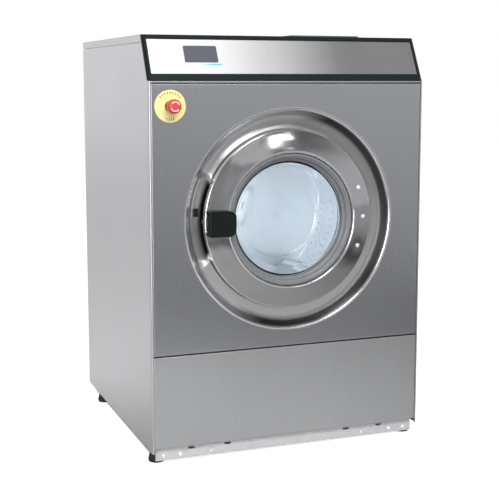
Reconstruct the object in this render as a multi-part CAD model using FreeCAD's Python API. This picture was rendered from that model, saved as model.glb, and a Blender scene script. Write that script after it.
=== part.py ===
import FreeCAD, Part
import math
import os

os.makedirs("parts", exist_ok=True)
V = FreeCAD.Vector

# Driving sizes of the tub and its drive, in millimetres
tub_radius = 365.0
tub_wall = 2.0
tub_front = 98.0         # tub behind the front plane
tub_length = 470.0
drum_gap = 33.0          # drum to tub all round
drum_wall = 1.5
lifter_height = 68.0
lifter_width = 96.0
shaft_radius = 30.0
pulley_radius = 190.0
motor_pulley_radius = 42.0
pulley_width = 34.0
pulley_room = 132.0      # tub's back to the pulleys
belt_thickness = 5.0
motor_radius = 75.0
motor_length = 165.0
motor_x = 105.0
motor_lift = 207.0       # motor's middle above the floor
motor_below = 120.0      # motor's middle below the tub
spring_radius = 34.0
spring_wire = 9.0
spring_inset = 65.0      # springs inside the tub's side
damper_radius = 20.0
damper_inset = 127.0
rod_radius = 8.0
row_front = 52.0         # suspension rows from the tub's ends
row_back = 68.0

# Driving sizes of the cabinet, heights from the floor
side_room = 60.0         # tub to the outer face of a side panel
top_room = 163.0         # tub to the top
drive_room = 252.0       # tub's back to the rear plane
front_reach = 50.0       # stop button ahead of the front plane
rear_reach = 60.0        # drain spigot behind the rear plane
panel_foot = 50.0        # lower edge of the front panels
side_drop = 14.0         # side panels hang this much lower
panel_seam = 3.0         # gap between the two front panels
crossbar_height = 6.0
console_height = 128.0   # height of the sloping control panel
console_setback = 66.0
rim_height = 21.0        # top cover's rim
top_gap = 2.5            # shadow line between the rim and the side panels
sheet = 1.5
fit = 0.3                # gap between parts that move past each other
seat = 0.1               # gap between parts that rest on each other
corner_return = 6.5      # side panel's turned front edge
corner_radius = 5.0

# Driving sizes of the door and its dish, depths from the front plane to the back
door_radius = 261.0
dish_gap = 59.0          # door's edge to the dish's edge
dish_lean = 21.0         # how far the dish's wall leans in
dish_foot_depth = 28.0
dish_to_seam = 54.0
throat_step = 37.0       # door's edge to the throat
throat_depth = 44.0
throat_collar = 18.0
mouth_step = 18.0        # throat to the drum's mouth
pocket_start = 154.0
pocket_sweep = 49.0
pocket_ramp = 22.0       # slant of the pocket's end walls
pocket_under = 8.0       # how far the pocket runs in under the door's rim
rim_depth = 12.0
hem_gap = 4.0            # door rim's hem above the dish
cone_width = 61.0        # door's edge to its bead
bead_rise = 10.0
funnel_width = 31.0      # bead to the edge of the glass that shows
sight_depth = 22.0
glass_thickness = 6.0
bowl_depth = 92.0
hinge_inset = 3.0        # hinge axis inside the door's edge
hinge_depth = 23.0
leaf_half = 25.0
ear_length = 30.0
screw_inset = 29.0
screw_angle = 22.0
handle_height = 73.0
handle_reach = 30.0
handle_over = 21.0       # handle's free edge past the bead
pivot_radius = 7.0

# Driving sizes of the base and the feet
foot_height = 32.0
foot_radius = 24.0
foot_inset = 3.0         # foot's middle inside the base's side
foot_front = 50.0
foot_back = 130.0        # rear feet from the rear plane
base_inset = 22.0
base_front = 15.0
base_gap = 10.0          # front rail above the floor
rail_height = 60.0
rail_width = 50.0
rail_sheet = 3.0
cross_top = 112.0
cross_width = 80.0

# Driving sizes of the stop button and the soap hopper
stop_inset = 61.5        # stop button's middle from the cabinet's side
stop_drop = 63.0         # and below the cross bar
stop_disc_radius = 45.0
stop_head_radius = 20.0
stop_travel = 6.0
stop_barrel_radius = 11.0
hopper_x = 162.0
hopper_width = 220.0
hopper_front = 128.0
hopper_length = 210.0
hopper_depth = 104.0
lid_rise = 6.0

# Sizes that follow from those above
half = tub_radius + side_room
tub_back = tub_front + tub_length
cabinet_depth = tub_back + drive_room
motor_drop = tub_radius + motor_below
door_height = motor_lift + motor_drop
cabinet_height = door_height + tub_radius + top_room
dish_radius = door_radius + dish_gap
dish_foot_radius = dish_radius - dish_lean
throat_radius = door_radius - throat_step
drum_mouth = throat_radius - mouth_step
bead_radius = door_radius - cone_width
sight_radius = bead_radius - funnel_width
screw_radius = door_radius - screw_inset
handle_end = bead_radius - handle_over
pivot_x = pivot_radius - door_radius
hinge_x = door_radius - hinge_inset
ear_low = leaf_half + fit
seam_height = door_height - dish_radius - dish_to_seam
y_shift = front_reach - (front_reach + cabinet_depth + rear_reach) / 2
console_foot = cabinet_height - console_height
top_seam = cabinet_height - rim_height
crossbar_foot = console_foot - crossbar_height
stop_x = stop_inset - half
stop_height = crossbar_foot - stop_drop
slope = math.atan2(console_setback, console_height)
slope_length = math.hypot(console_setback, console_height)
front_half = half - corner_return - fit
base_half_width = half - base_inset
foot_rows = (foot_front, cabinet_depth - foot_back)
drum_radius = tub_radius - tub_wall - drum_gap
drum_front = tub_front + 16.0
drum_back = tub_back - drum_gap
mount_rows = (tub_front + row_front, tub_back - row_back)
mount_x = tub_radius - spring_inset
damper_x = tub_radius - damper_inset
pulley_front = tub_back + pulley_room
pulley_back = pulley_front + pulley_width
motor_z = door_height - motor_drop
shift = V(0, y_shift, 0)


def save(name, shape):
    moved = shape.copy()
    moved.translate(shift)
    moved.exportStep("parts/" + name + ".step")


def block(x0, x1, y0, y1, z0, z1):
    return Part.makeBox(x1 - x0, y1 - y0, z1 - z0, V(x0, y0, z0))


def rod_x(radius, x0, x1, y, z):
    return Part.makeCylinder(radius, x1 - x0, V(x0, y, z), V(1, 0, 0))


def rod_y(radius, y0, y1, x=0.0, z=door_height):
    return Part.makeCylinder(radius, y1 - y0, V(x, y0, z), V(0, 1, 0))


def rod_z(radius, z0, z1, x, y):
    return Part.makeCylinder(radius, z1 - z0, V(x, y, z0), V(0, 0, 1))


def ring_y(outer, inner, y0, y1, x=0.0, z=door_height):
    return rod_y(outer, y0, y1, x, z).cut(rod_y(inner, y0 - 1, y1 + 1, x, z))


def tube_z(outer, inner, z0, z1, x, y):
    return rod_z(outer, z0, z1, x, y).cut(rod_z(inner, z0 - 1, z1 + 1, x, y))


def joined(shapes):
    whole = shapes[0]
    for other in shapes[1:]:
        whole = whole.fuse(other)
    return whole.removeSplitter()


def mirrored(shape):
    return shape.mirror(V(0, 0, 0), V(1, 0, 0))


# Closed outline from corners (u, v) or (u, v, radius), each corner rounded by its radius
def outline(corners, place):
    edges = []
    here = None
    first = None
    count = len(corners)
    for i in range(count):
        u, v = corners[i][0], corners[i][1]
        radius = corners[i][2] if len(corners[i]) > 2 else 0.0
        if radius > 0.0:
            before = corners[i - 1]
            after = corners[(i + 1) % count]
            au, av = before[0] - u, before[1] - v
            bu, bv = after[0] - u, after[1] - v
            la, lb = math.hypot(au, av), math.hypot(bu, bv)
            au, av, bu, bv = au / la, av / la, bu / lb, bv / lb
            half_angle = math.acos(max(-1.0, min(1.0, au * bu + av * bv))) / 2
            reach = radius / math.tan(half_angle)
            mu, mv = au + bu, av + bv
            lm = math.hypot(mu, mv)
            out = radius / math.sin(half_angle) - radius
            start = (u + au * reach, v + av * reach)
            middle = (u + mu / lm * out, v + mv / lm * out)
            end = (u + bu * reach, v + bv * reach)
        else:
            start = (u, v)
            middle = None
            end = start
        if here is not None and math.hypot(start[0] - here[0], start[1] - here[1]) > 1e-6:
            edges.append(Part.makeLine(place(here), place(start)))
        if first is None:
            first = start
        if middle is not None:
            edges.append(Part.Arc(place(start), place(middle), place(end)).toShape())
        here = end
    if math.hypot(first[0] - here[0], first[1] - here[1]) > 1e-6:
        edges.append(Part.makeLine(place(here), place(first)))
    return Part.Face(Part.Wire(edges))


# Line of (u, v, radius) corners moved sideways, to the left of its direction
def beside(line, distance):
    moved = []
    for i in range(len(line)):
        u, v = line[i][0], line[i][1]
        radius = line[i][2] if len(line[i]) > 2 else 0.0
        normals = []
        if i > 0:
            du, dv = u - line[i - 1][0], v - line[i - 1][1]
            size = math.hypot(du, dv)
            normals.append((-dv / size, du / size))
        if i < len(line) - 1:
            du, dv = line[i + 1][0] - u, line[i + 1][1] - v
            size = math.hypot(du, dv)
            normals.append((-dv / size, du / size))
        if len(normals) == 1:
            mu, mv = normals[0]
            moved.append((u + mu * distance, v + mv * distance))
            continue
        (pu, pv), (qu, qv) = normals
        mu, mv = pu + qu, pv + qv
        scale = 2.0 / (mu * mu + mv * mv)
        turn = pu * qv - pv * qu
        grown = radius - distance if turn > 0 else radius + distance
        grown = max(grown, 0.25) if radius > 0 else 0.0
        moved.append((u + mu * scale * distance, v + mv * scale * distance, grown))
    return moved


def band(line, thickness):
    return list(line) + list(reversed(beside(line, thickness)))


# Profile of (radius, depth) turned about the line along Y through x, z
def turned(corners, x=0.0, z=door_height, start=0.0, sweep=360.0):
    face = outline(corners, lambda p: V(x + p[0], p[1], z))
    solid = face.revolve(V(x, 0, z), V(0, 1, 0), -sweep)
    if start:
        solid.rotate(V(x, 0, z), V(0, 1, 0), -start)
    return solid


def slab_x(corners, x0, x1):
    return outline(corners, lambda p: V(x0, p[0], p[1])).extrude(V(x1 - x0, 0, 0))


def slab_y(corners, y0, y1):
    return outline(corners, lambda p: V(p[0], y0, p[1])).extrude(V(0, y1 - y0, 0))


def slab_z(corners, z0, z1):
    return outline(corners, lambda p: V(p[0], p[1], z0)).extrude(V(0, 0, z1 - z0))


def rectangle(u0, u1, v0, v1, radius=0.0):
    return [(u0, v0, radius), (u1, v0, radius), (u1, v1, radius), (u0, v1, radius)]


# Sheet pan that opens to the back, its front edges folded on a radius
def pan(x0, x1, z0, z1, depth, radius=3.0):
    outer = block(x0, x1, 0, depth, z0, z1)
    inner = block(x0 + sheet, x1 - sheet, sheet, depth + 5, z0 + sheet, z1 - sheet)
    front = [e for e in outer.Edges if e.BoundBox.YMax < 0.01]
    outer = outer.makeFillet(radius, front)
    front = [e for e in inner.Edges if e.BoundBox.YMax < sheet + 0.01]
    inner = inner.makeFillet(radius - sheet, front)
    return outer.cut(inner)


# Point on the sloping control panel: along x, up the slope, out of its face
def on_slope(x, up, out):
    y = up * math.sin(slope) - out * math.cos(slope)
    z = console_foot + up * math.cos(slope) + out * math.sin(slope)
    return V(x, y, z)


def slope_slab(x0, x1, s0, s1, n0, n1, radius=0.0):
    face = outline(rectangle(x0, x1, s0, s1, radius), lambda p: on_slope(p[0], p[1], n0))
    return face.extrude(on_slope(0, 0, n1) - on_slope(0, 0, n0))


def slope_line(height):
    return (height - console_foot) * math.tan(slope)


# Base frame: two side rails, cross rails that carry the suspension, pierced front rail, rear rail
rail_foot = foot_height
rail_top = rail_foot + rail_height
base_back = cabinet_depth - base_front
rail_section = band([(base_half_width - rail_width, rail_foot), (base_half_width, rail_foot, 4.0),
                     (base_half_width, rail_top, 4.0), (base_half_width - rail_width, rail_top)],
                    rail_sheet)
panel_deep = 22.0
right_rail = slab_y(rail_section, panel_deep + 2.0, base_back)
pieces = [right_rail, mirrored(right_rail)]
cross_foot = rail_foot + rail_sheet
valve_row = mount_rows[1] + 128.0
rail_inner = base_half_width - rail_sheet
for row in (mount_rows[0], mount_rows[1], valve_row):
    wide = cross_width / 2 if row != valve_row else cross_width / 2 - 10.0
    leg = [(row - wide, cross_foot), (row - wide, cross_top, 4.0), (row + wide, cross_top, 4.0),
           (row + wide, cross_foot)]
    section = band(leg, -rail_sheet)
    cross = slab_x(section, -rail_inner, rail_inner)
    notch = block(base_half_width - rail_width - 1, rail_inner + 1, row - wide - 1, row + wide + 1,
                  cross_foot - 1, rail_top)
    keep = block(base_half_width - rail_width - 1, rail_inner + 1, row - wide - 1, row + wide + 1,
                 cross_foot - 1, rail_top - rail_sheet)
    lip = notch.cut(keep)
    pieces.append(cross.cut(lip).cut(mirrored(lip)))
lean = 14.0
rail_face = [(base_front, base_gap), (base_front, base_gap + 22.0, 3.0),
             (base_front + lean, panel_foot + 6.0, 3.0), (base_front + lean + 40.0, panel_foot + 6.0)]
front_rail_half = half - 2 * corner_return
front_rail = slab_x(band(rail_face, -2.0), -front_rail_half, front_rail_half)
for inset in (160.0, 65.0, 16.0):
    for sign in (-1, 1):
        x = sign * (base_half_width - inset)
        front_rail = front_rail.cut(rod_y(5.0, 0, 40, x, base_gap + 12.5))
for inset in (211.0, 100.0):
    for sign in (-1, 1):
        x = base_half_width - inset
        slot = slab_y(rectangle(sign * x - 10, sign * x + 10, base_gap + 25, base_gap + 30, 2.0), 0, 40)
        front_rail = front_rail.cut(slot)
pieces.append(front_rail)
rear_rail = slab_x(band([(base_back, rail_foot), (base_back, rail_top, 4.0),
                         (base_back - 40.0, rail_top)], 2.0), -base_half_width, base_half_width)
pieces.append(rear_rail)
base = joined(pieces)
foot_x = base_half_width - foot_inset
for sign in (-1, 1):
    for row in foot_rows:
        base = base.cut(rod_z(6.2, rail_foot - 1, rail_foot + rail_sheet + 1, sign * (foot_x - 14.0),
                              row))
save("base_frame", base)

# Rubber feet, domed, each with a stud through the rail
for sign, side in ((-1, "left"), (1, "right")):
    for row, end in ((foot_rows[0], "front"), (foot_rows[1], "rear")):
        x = sign * foot_x
        pad = [(0, 0), (foot_radius - 2.0, 0, 2.0), (foot_radius, 7.0, 3.0),
               (foot_radius - 6.0, foot_height, 5.0), (0, foot_height)]
        face = outline(pad, lambda p: V(x + p[0], row, p[1]))
        foot = face.revolve(V(x, row, 0), V(0, 0, 1), 360)
        stud = rod_z(6.0, foot_height - 12.0, foot_height + rail_sheet + 12.0, sign * (foot_x - 14.0),
                     row)
        save("foot_" + end + "_" + side, joined([foot, stud]))

# Side panels: skin, rounded front corner with its return, bottom, top and rear returns
side_foot = panel_foot - side_drop
frame_deep = 12.0
frame_level = frame_deep / math.cos(slope)
skin_x = half - sheet
corner_line = [(half - corner_return, 0.0), (half, 0.0, corner_radius), (half, cabinet_depth, 2.5),
               (half - 22.0, cabinet_depth)]
wall = slab_z(band(corner_line, sheet), side_foot, console_foot)
upper_line = [(half, frame_level), (half, cabinet_depth, 2.5), (half - 22.0, cabinet_depth)]
side_top = top_seam - top_gap
upper = slab_z(band(upper_line, sheet), console_foot, side_top)
over = slab_x([(-10.0, console_foot), (frame_level + fit, console_foot),
               (slope_line(top_seam) + frame_level + fit, top_seam), (-10.0, top_seam + 1.0)],
              half - 30.0, half + 1.0)
low = block(half - 19.0, half - 0.5, base_front + 60.0, cabinet_depth - 3.0, side_foot,
            side_foot + sheet)
shelf_front = slope_line(top_seam) + frame_level + 6.0
high = block(half - 19.0, half - 0.5, shelf_front, cabinet_depth - 3.0, side_top - sheet, side_top)
right_side = joined([wall, upper.cut(over), low, high])
save("side_panel_right", right_side)
save("side_panel_left", mirrored(right_side))

# Rear panel with openings for the service cover, valves, drain and cable gland, and air slots
rear_face = cabinet_depth - sheet
rear_half = skin_x - 1.2
rear_panel = block(-rear_half, rear_half, rear_face - sheet, rear_face - 0.01, side_foot + 4.0,
                   top_seam - sheet - seat)
cover_half = 225.0
cover_low = motor_z - 95.0
cover_high = door_height + pulley_radius + 40.0
rear_panel = rear_panel.cut(slab_y(rectangle(-cover_half, cover_half, cover_low, cover_high, 12.0),
                                   rear_face - 9, rear_face + 9))
valve_height = console_foot + 36.0
valve_places = (hopper_x - 45.0, hopper_x + 45.0)
inlet_radius = 13.2
for x in valve_places:
    rear_panel = rear_panel.cut(rod_y(inlet_radius + 1.0, rear_face - 9, rear_face + 9, x, valve_height))
drain_x = 95.0 - half
drain_z = cross_top + 62.0
drain_radius = 25.0
rear_panel = rear_panel.cut(rod_y(drain_radius + 2.0, rear_face - 9, rear_face + 9, drain_x, drain_z))
gland_x = 125.0 - half
gland_z = top_seam - 62.0
gland_radius = 12.5
rear_panel = rear_panel.cut(rod_y(gland_radius + 0.4, rear_face - 9, rear_face + 9, gland_x, gland_z))
vent_x = half - 95.0
vent_pitch = 26.0
vent_count = 9
vent_low = door_height - 160.0
for column in (-vent_x, vent_x):
    for step in range(vent_count):
        z = vent_low + step * vent_pitch
        slot = slab_y(rectangle(column - 45, column + 45, z, z + 7, 3.0), rear_face - 9, rear_face + 9)
        rear_panel = rear_panel.cut(slot)
save("rear_panel", rear_panel)

# Rear service cover: shallow pan screwed over the belt opening
cover = slab_y(rectangle(-cover_half - 14, cover_half + 14, cover_low - 14, cover_high + 14, 14.0),
               rear_face + seat - 0.01, rear_face + sheet + seat - 0.01)
boss = slab_y(rectangle(-cover_half + 10, cover_half - 10, cover_low + 10, cover_high - 10, 12.0),
              rear_face + 1.0, rear_face + 9.0)
hollow = slab_y(rectangle(-cover_half + 12, cover_half - 12, cover_low + 12, cover_high - 12, 10.0),
                rear_face - 1.0, rear_face + 7.5)
save("rear_cover", joined([cover, boss]).cut(hollow))

# Top cover: pan with its front end cut along the slope, opening for the hopper
lap = frame_level + fit
cover_line = [(slope_line(top_seam) + lap, top_seam), (cabinet_depth, top_seam),
              (cabinet_depth, cabinet_height, 4.0), (console_setback + lap, cabinet_height, 1.0)]
top_solid = slab_x(cover_line, -half, half)
top_edges = [e for e in top_solid.Edges if e.BoundBox.ZMin > cabinet_height - 0.01]
side_edges = [e for e in top_edges if e.BoundBox.YLength > half / 2]
top_solid = top_solid.makeFillet(3.0, side_edges)
under_line = [(slope_line(top_seam) + lap + sheet + 0.3, top_seam - 1),
              (cabinet_depth - sheet, top_seam - 1),
              (cabinet_depth - sheet, cabinet_height - sheet, 2.5),
              (console_setback + lap + sheet, cabinet_height - sheet)]
top_under = slab_x(under_line, -half + sheet, half - sheet)
hopper_left = hopper_x - hopper_width / 2
hopper_right = hopper_x + hopper_width / 2
hopper_back = hopper_front + hopper_length
mouth = block(hopper_left + 6, hopper_right - 6, hopper_front + 6, hopper_back - 6, top_seam,
              cabinet_height + 5)
top_shell = top_solid.cut(top_under).cut(mouth)
flange_front = shelf_front + 6.0
flange_out = half - sheet - 2.0
flange = block(flange_out - sheet, flange_out, flange_front, cabinet_depth - 20.0, side_top, top_seam + 8.0)
joggle = block(flange_out - sheet, half - 0.2, flange_front, cabinet_depth - 20.0, top_seam + 5.0,
               top_seam + 8.0)
strip = flange.fuse(joggle)
save("top_cover", joined([top_shell, strip, mirrored(strip)]))

# Cross bar under the control panel, which the front panel hangs from
bar_line = [(0.0, crossbar_foot + 0.6, 2.0), (0.0, console_foot - seat, 2.0),
            (46.0, console_foot - seat), (46.0, crossbar_foot - 30.0), (44.5, crossbar_foot - 30.0),
            (44.5, crossbar_foot + 0.6)]
save("front_crossbar", slab_x(bar_line, -front_half, front_half))

# Upper front panel: pan with the pressed dish, throat collar and finger pocket
floor_line = [(dish_radius + 6.0, 0.0), (dish_radius, 0.0, 9.0),
              (dish_foot_radius, dish_foot_depth, 16.0), (throat_radius, throat_depth, 5.0),
              (throat_radius - 5.0, throat_depth + throat_collar)]
pocket_floor = throat_depth + 2.0
pocket_outer = dish_foot_radius + 4.0
pocket_inner = door_radius - pocket_under


def pocket_end(angle, way, grow):
    turn = math.radians(angle)
    along = V(-math.sin(turn) * way, 0, math.cos(turn) * way)
    outward = V(math.cos(turn), 0, math.sin(turn))
    lean = pocket_ramp / (pocket_floor - dish_foot_depth)
    shift = grow * math.hypot(1.0, lean)
    top_reach = lean * (pocket_floor + 20.0) + shift
    low_reach = shift - lean * 30.0
    corners = [(top_reach, -20.0), (low_reach, pocket_floor + 30.0), (120.0, pocket_floor + 30.0),
               (120.0, -20.0)]
    start = V(0, 0, door_height) + outward * (pocket_inner - 40.0)
    face = outline(corners, lambda p: start + along * p[0] + V(0, p[1], 0))
    return face.extrude(outward * 120.0)


def dish_air(grow):
    line = list(floor_line) if grow == 0 else beside(floor_line, -grow)
    deep = line[-1][1] if grow else line[-1][1] + 5.0
    corners = [(0.0, -20.0), (line[0][0], -20.0)] + line + [(line[-1][0], deep), (0.0, deep)]
    if grow:
        corners = [(0.0, -20.0), (line[0][0], -20.0)] + line + [(0.0, line[-1][1])]
    air = turned(corners)
    spare = math.degrees(2 * pocket_ramp / pocket_inner) + 2.0
    pocket = [(pocket_inner - grow, dish_foot_depth - 16.0),
              (pocket_outer + 11.0 + grow, dish_foot_depth - 16.0),
              (pocket_outer - 8.0 + grow, pocket_floor + grow, 8.0 + grow),
              (pocket_inner - grow, pocket_floor + grow)]
    room = turned(pocket, 0.0, door_height, pocket_start - spare, pocket_sweep + 2 * spare)
    room = room.cut(pocket_end(pocket_start, -1, grow))
    return air.fuse(room.cut(pocket_end(pocket_start + pocket_sweep, 1, grow)))


panel_top = crossbar_foot - 1.0
panel_low = seam_height + panel_seam / 2
front = pan(-front_half, front_half, panel_low, panel_top, panel_deep)
front = front.cut(rod_y(dish_radius + 5.0, -5, 30))
shell = dish_air(sheet).cut(dish_air(0.0))
shell = shell.cut(block(-half, half, -front_reach, 0, 0, cabinet_height))
front = front.fuse(shell).removeSplitter()
slot_left = pivot_x - 9.0
slot_right = pivot_x + 26.0
tongue_half = 5.0
front = front.cut(block(slot_left, slot_right, dish_foot_depth + 1.0, 70.0,
                        door_height - tongue_half - 5.0, door_height + tongue_half + 5.0))
insert_x = (pivot_x - 30.0, pivot_x - 16.0)
insert_z = (door_height + 15.0, door_height + 39.0)
front = front.cut(block(insert_x[0] - fit, insert_x[1] + fit, dish_foot_depth, 70.0, insert_z[0] - fit,
                        insert_z[1] + fit))
front = front.cut(rod_y(stop_barrel_radius + 0.3, -5, 10, stop_x, stop_height))
for sign in (-1, 1):
    z0 = door_height + min(sign * ear_low, sign * (ear_low + ear_length))
    front = front.cut(block(hinge_x - 6.0, hinge_x + 2.5, dish_foot_depth, throat_depth + 8.0, z0 - 1.0,
                            z0 + ear_length + 1.0))
save("front_panel", front)

# Lower service panel
save("service_panel", pan(-front_half, front_half, panel_foot, seam_height - panel_seam / 2, panel_deep))

# Control panel: frame with bevelled window, printed fascia in its rebate, display window, board housing
frame_line = [(0.0, console_foot, 1.5), (console_setback, cabinet_height, 1.5),
              (console_setback + frame_level, cabinet_height), (frame_level, console_foot)]
frame = slab_x(frame_line, -half, half)
end_bevel = 6.0
for sign in (-1, 1):
    corner = [(half - end_bevel, 0.0), (half + 1.0, 0.0), (half + 1.0, -end_bevel - 1.0)]
    face = outline(corner, lambda p: on_slope(sign * p[0], -10.0, p[1]))
    wedge = face.extrude(on_slope(0.0, slope_length + 10.0, 0.0) - on_slope(0.0, -10.0, 0.0))
    frame = frame.cut(wedge)
border = 13.0
border_low = 24.0
bevel = 3.0
lip_deep = 3.0


def window_wire(grow, out):
    face = outline(rectangle(-half + border - grow, half - border + grow, border_low - grow,
                             slope_length - border + grow), lambda p: on_slope(p[0], p[1], out))
    return face.OuterWire


opening = Part.makeLoft([window_wire(bevel, 0.02), window_wire(0.0, -lip_deep)], True)
frame = frame.cut(opening)
frame = frame.cut(slope_slab(-half + border - 5.0, half - border + 5.0, border_low - 5.0,
                             slope_length - border + 5.0, -frame_deep - 9.0, -lip_deep))
save("console_frame", frame)
fascia = slope_slab(-half + border - 4.7, half - border + 4.7, border_low - 4.7,
                    slope_length - border + 4.7, -lip_deep - 2.5, -lip_deep - seat, 1.0)
save("console_fascia", fascia)
display_left = 115.0 - half
display_width = 98.0
display = slope_slab(display_left, display_left + display_width, 59.0, 111.0, -lip_deep - seat + 0.05,
                     -lip_deep + 1.2, 3.0)
save("display_window", display)
board_face = -lip_deep - 2.5 - seat
board_left = display_left - 42.0
board_right = display_left + display_width + 116.0
box_out = slope_slab(board_left, board_right, 34.0, 122.0, board_face - 38.0, board_face, 4.0)
box_in = slope_slab(board_left + 2.0, board_right - 2.0, 36.0, 120.0, board_face - 36.0,
                    board_face - 2.0, 2.0)
save("control_board", box_out.cut(box_in))

# Stop button: disc, collar with threaded barrel and nut, contact block, stem, mushroom head
disc = ring_y(stop_disc_radius, stop_barrel_radius + 0.3, -1.2, -0.05, stop_x, stop_height)
save("stop_disc", disc)
bore = 6.0
collar_reach = 15.0
collar = turned([(bore + 0.06, -collar_reach), (13.5, -collar_reach, 1.0), (15.5, -1.3),
                 (stop_barrel_radius, -1.3), (stop_barrel_radius, 24.0), (bore + 0.06, 24.0)], stop_x,
                stop_height)
nut = turned([(stop_barrel_radius, 1.6), (16.0, 1.6), (16.0, 8.0), (stop_barrel_radius, 8.0)], stop_x,
             stop_height)
save("stop_collar", joined([collar, nut]))
contact = slab_y(rectangle(stop_x - 15, stop_x + 15, stop_height - 20, stop_height + 20, 2.0), 24.1, 70.0)
save("stop_contact_block", contact.cut(rod_y(bore + 2.0, 20.0, 50.0, stop_x, stop_height)))
stem = turned([(0, -32.0), (3.0, -32.0), (3.0, -20.0), (bore, -20.0), (bore, 30.0), (bore - 2, 36.0),
               (0, 36.0)], stop_x, stop_height)
save("stop_stem", stem)
head_front = -front_reach
head_back = -collar_reach - stop_travel - 1.6
head_line = [(3.05, head_back), (stop_head_radius - 7.0, head_back, 1.0), (stop_head_radius, -33.0, 2.5),
             (stop_head_radius, -43.0, 5.0), (stop_head_radius - 7.0, head_front, 8.0),
             (0.0, head_front), (0.0, -32.3), (3.05, -32.3)]
save("stop_head", turned(head_line, stop_x, stop_height))

# Soap hopper with two cells, outlet stub and hinge lugs, and its lid
hopper_top = cabinet_height + seat
hopper_low = cabinet_height - hopper_depth
outer = block(hopper_left + 7, hopper_right - 7, hopper_front + 7, hopper_back - 7, hopper_low,
              hopper_top)
flange = slab_z(rectangle(hopper_left + 2, hopper_right - 2, hopper_front + 2, hopper_back - 2, 5.0),
                hopper_top, hopper_top + 2.0)
cell_mid = hopper_x + 20.0
cell_a = block(hopper_left + 10, cell_mid - 1.5, hopper_front + 10, hopper_back - 10, hopper_low + 3,
               hopper_top + 9)
cell_b = block(cell_mid + 1.5, hopper_right - 10, hopper_front + 10, hopper_back - 10, hopper_low + 3,
               hopper_top + 9)
spout_y = hopper_front + hopper_length / 2
spout = rod_z(22.0, hopper_low - 26.0, hopper_low + 1.0, hopper_x, spout_y)
duct = rod_z(19.0, hopper_low - 30.0, hopper_low + 8.0, hopper_x, spout_y)
hinge_y = hopper_back + 4.0
lid_axis_z = hopper_top + 3.6
lugs = []
for sign in (-1, 1):
    x = hopper_x + sign * (hopper_width / 2 - 22.0)
    lug = block(x - 4, x + 4, hopper_back - 6.0, hinge_y + 3.4, hopper_top, lid_axis_z)
    lugs.append(lug.fuse(rod_x(3.4, x - 4, x + 4, hinge_y, lid_axis_z)))
hopper = joined([outer, flange, spout] + lugs).cut(cell_a).cut(cell_b).cut(duct)
port = 8.0
for x in valve_places:
    hopper = hopper.cut(rod_y(port, hopper_back - 12.0, hopper_back + 3.0, x, valve_height))
hopper = hopper.cut(rod_x(1.56, hopper_left, hopper_right, hinge_y, lid_axis_z))
save("soap_hopper", hopper)
lid_low = hopper_top + 2.0 + fit
lid_top = cabinet_height + lid_rise
lid = slab_z(rectangle(hopper_left, hopper_right, hopper_front, hopper_back - 2.0, 4.0), lid_low, lid_top)
lid_edges = [e for e in lid.Edges if e.BoundBox.ZMin > lid_top - 0.01]
lid = lid.makeFillet(1.2, lid_edges)
skirt = block(hopper_left + 14, hopper_right - 14, hopper_front + 14, hopper_back - 14, lid_low - 6.0,
              lid_low + 0.5)
skirt = skirt.cut(block(hopper_left + 16, hopper_right - 16, hopper_front + 16, hopper_back - 16, 0,
                        lid_low - 0.2))
skirt = skirt.cut(block(cell_mid - 5, cell_mid + 5, 0, 900, 0, lid_low))
parts_of_lid = [lid, skirt]
for sign in (-1, 1):
    x = hopper_x + sign * (hopper_width / 2 - 22.0)
    parts_of_lid.append(rod_x(1.5, x - 10, x + 10, hinge_y, lid_axis_z))
    for place in (x - 9.0, x + 5.0):
        arm = block(place, place + 4, hopper_back - 6.0, hinge_y, lid_low, lid_top)
        parts_of_lid.append(arm.fuse(rod_x(2.4, place, place + 4, hinge_y, lid_axis_z)))
whole_lid = joined(parts_of_lid)
for sign in (-1, 1):
    x = hopper_x + sign * (hopper_width / 2 - 22.0)
    gap = block(x - 5, x + 5, hopper_back - 8.0, hinge_y + 9, 0, lid_top + 1)
    whole_lid = whole_lid.cut(gap.cut(rod_x(1.5, x - 9, x + 9, hinge_y, lid_axis_z)))
save("soap_lid", whole_lid)

# Door ring: pressed cone with hemmed rim, rolled bead and funnel lip
cone_slope = (rim_depth + bead_rise) / (door_radius - bead_radius - 1.0)


def cone_depth(radius):
    return rim_depth - (door_radius - radius) * cone_slope


lip_radius = bead_radius - 7.0
dish_fall = (throat_depth - dish_foot_depth) / (dish_foot_radius - throat_radius)
hem_end = dish_foot_depth + (dish_foot_radius - door_radius) * dish_fall - hem_gap
ring_line = [(door_radius, hem_end), (door_radius, rim_depth, 3.0),
             (bead_radius + 1.0, -bead_rise, 5.0), (bead_radius - 5.0, -bead_rise, 3.5),
             (lip_radius, 6.0)]
ring = turned(band(ring_line, -sheet))
knuckle = 6.5
ring = ring.cut(block(hinge_x - knuckle - 4, door_radius + 5, rim_depth + 2.0, 60.0,
                      door_height - leaf_half - ear_length - 6, door_height + leaf_half + ear_length + 6))
cone_tilt = math.degrees(math.atan(cone_slope))
screw_angles = (-screw_angle, 0.0, screw_angle)


# Shape drawn along Y at the origin, set square to the cone at the screw circle
def on_cone(shape, angle):
    placed = shape.copy()
    placed.rotate(V(0, 0, 0), V(0, 0, 1), cone_tilt)
    placed.translate(V(screw_radius, cone_depth(screw_radius), door_height))
    placed.rotate(V(0, 0, door_height), V(0, 1, 0), -angle)
    return placed


for angle in screw_angles:
    ring = ring.cut(on_cone(rod_y(4.2, -20, 20, 0, 0), angle))
ear_z = 22.0
ear_thick = 5.0
for sign in (-1, 1):
    z = door_height + sign * ear_z
    ring = ring.cut(block(pivot_x - 4.5, pivot_x + 22.0, -15, 14, z - ear_thick / 2 - 0.4,
                          z + ear_thick / 2 + 0.4))
ring = ring.cut(block(pivot_x - 6.0, pivot_x + 18.0, -15, 14, door_height - tongue_half - 2.0,
                      door_height + tongue_half + 2.0))
save("door_ring", ring)

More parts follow.
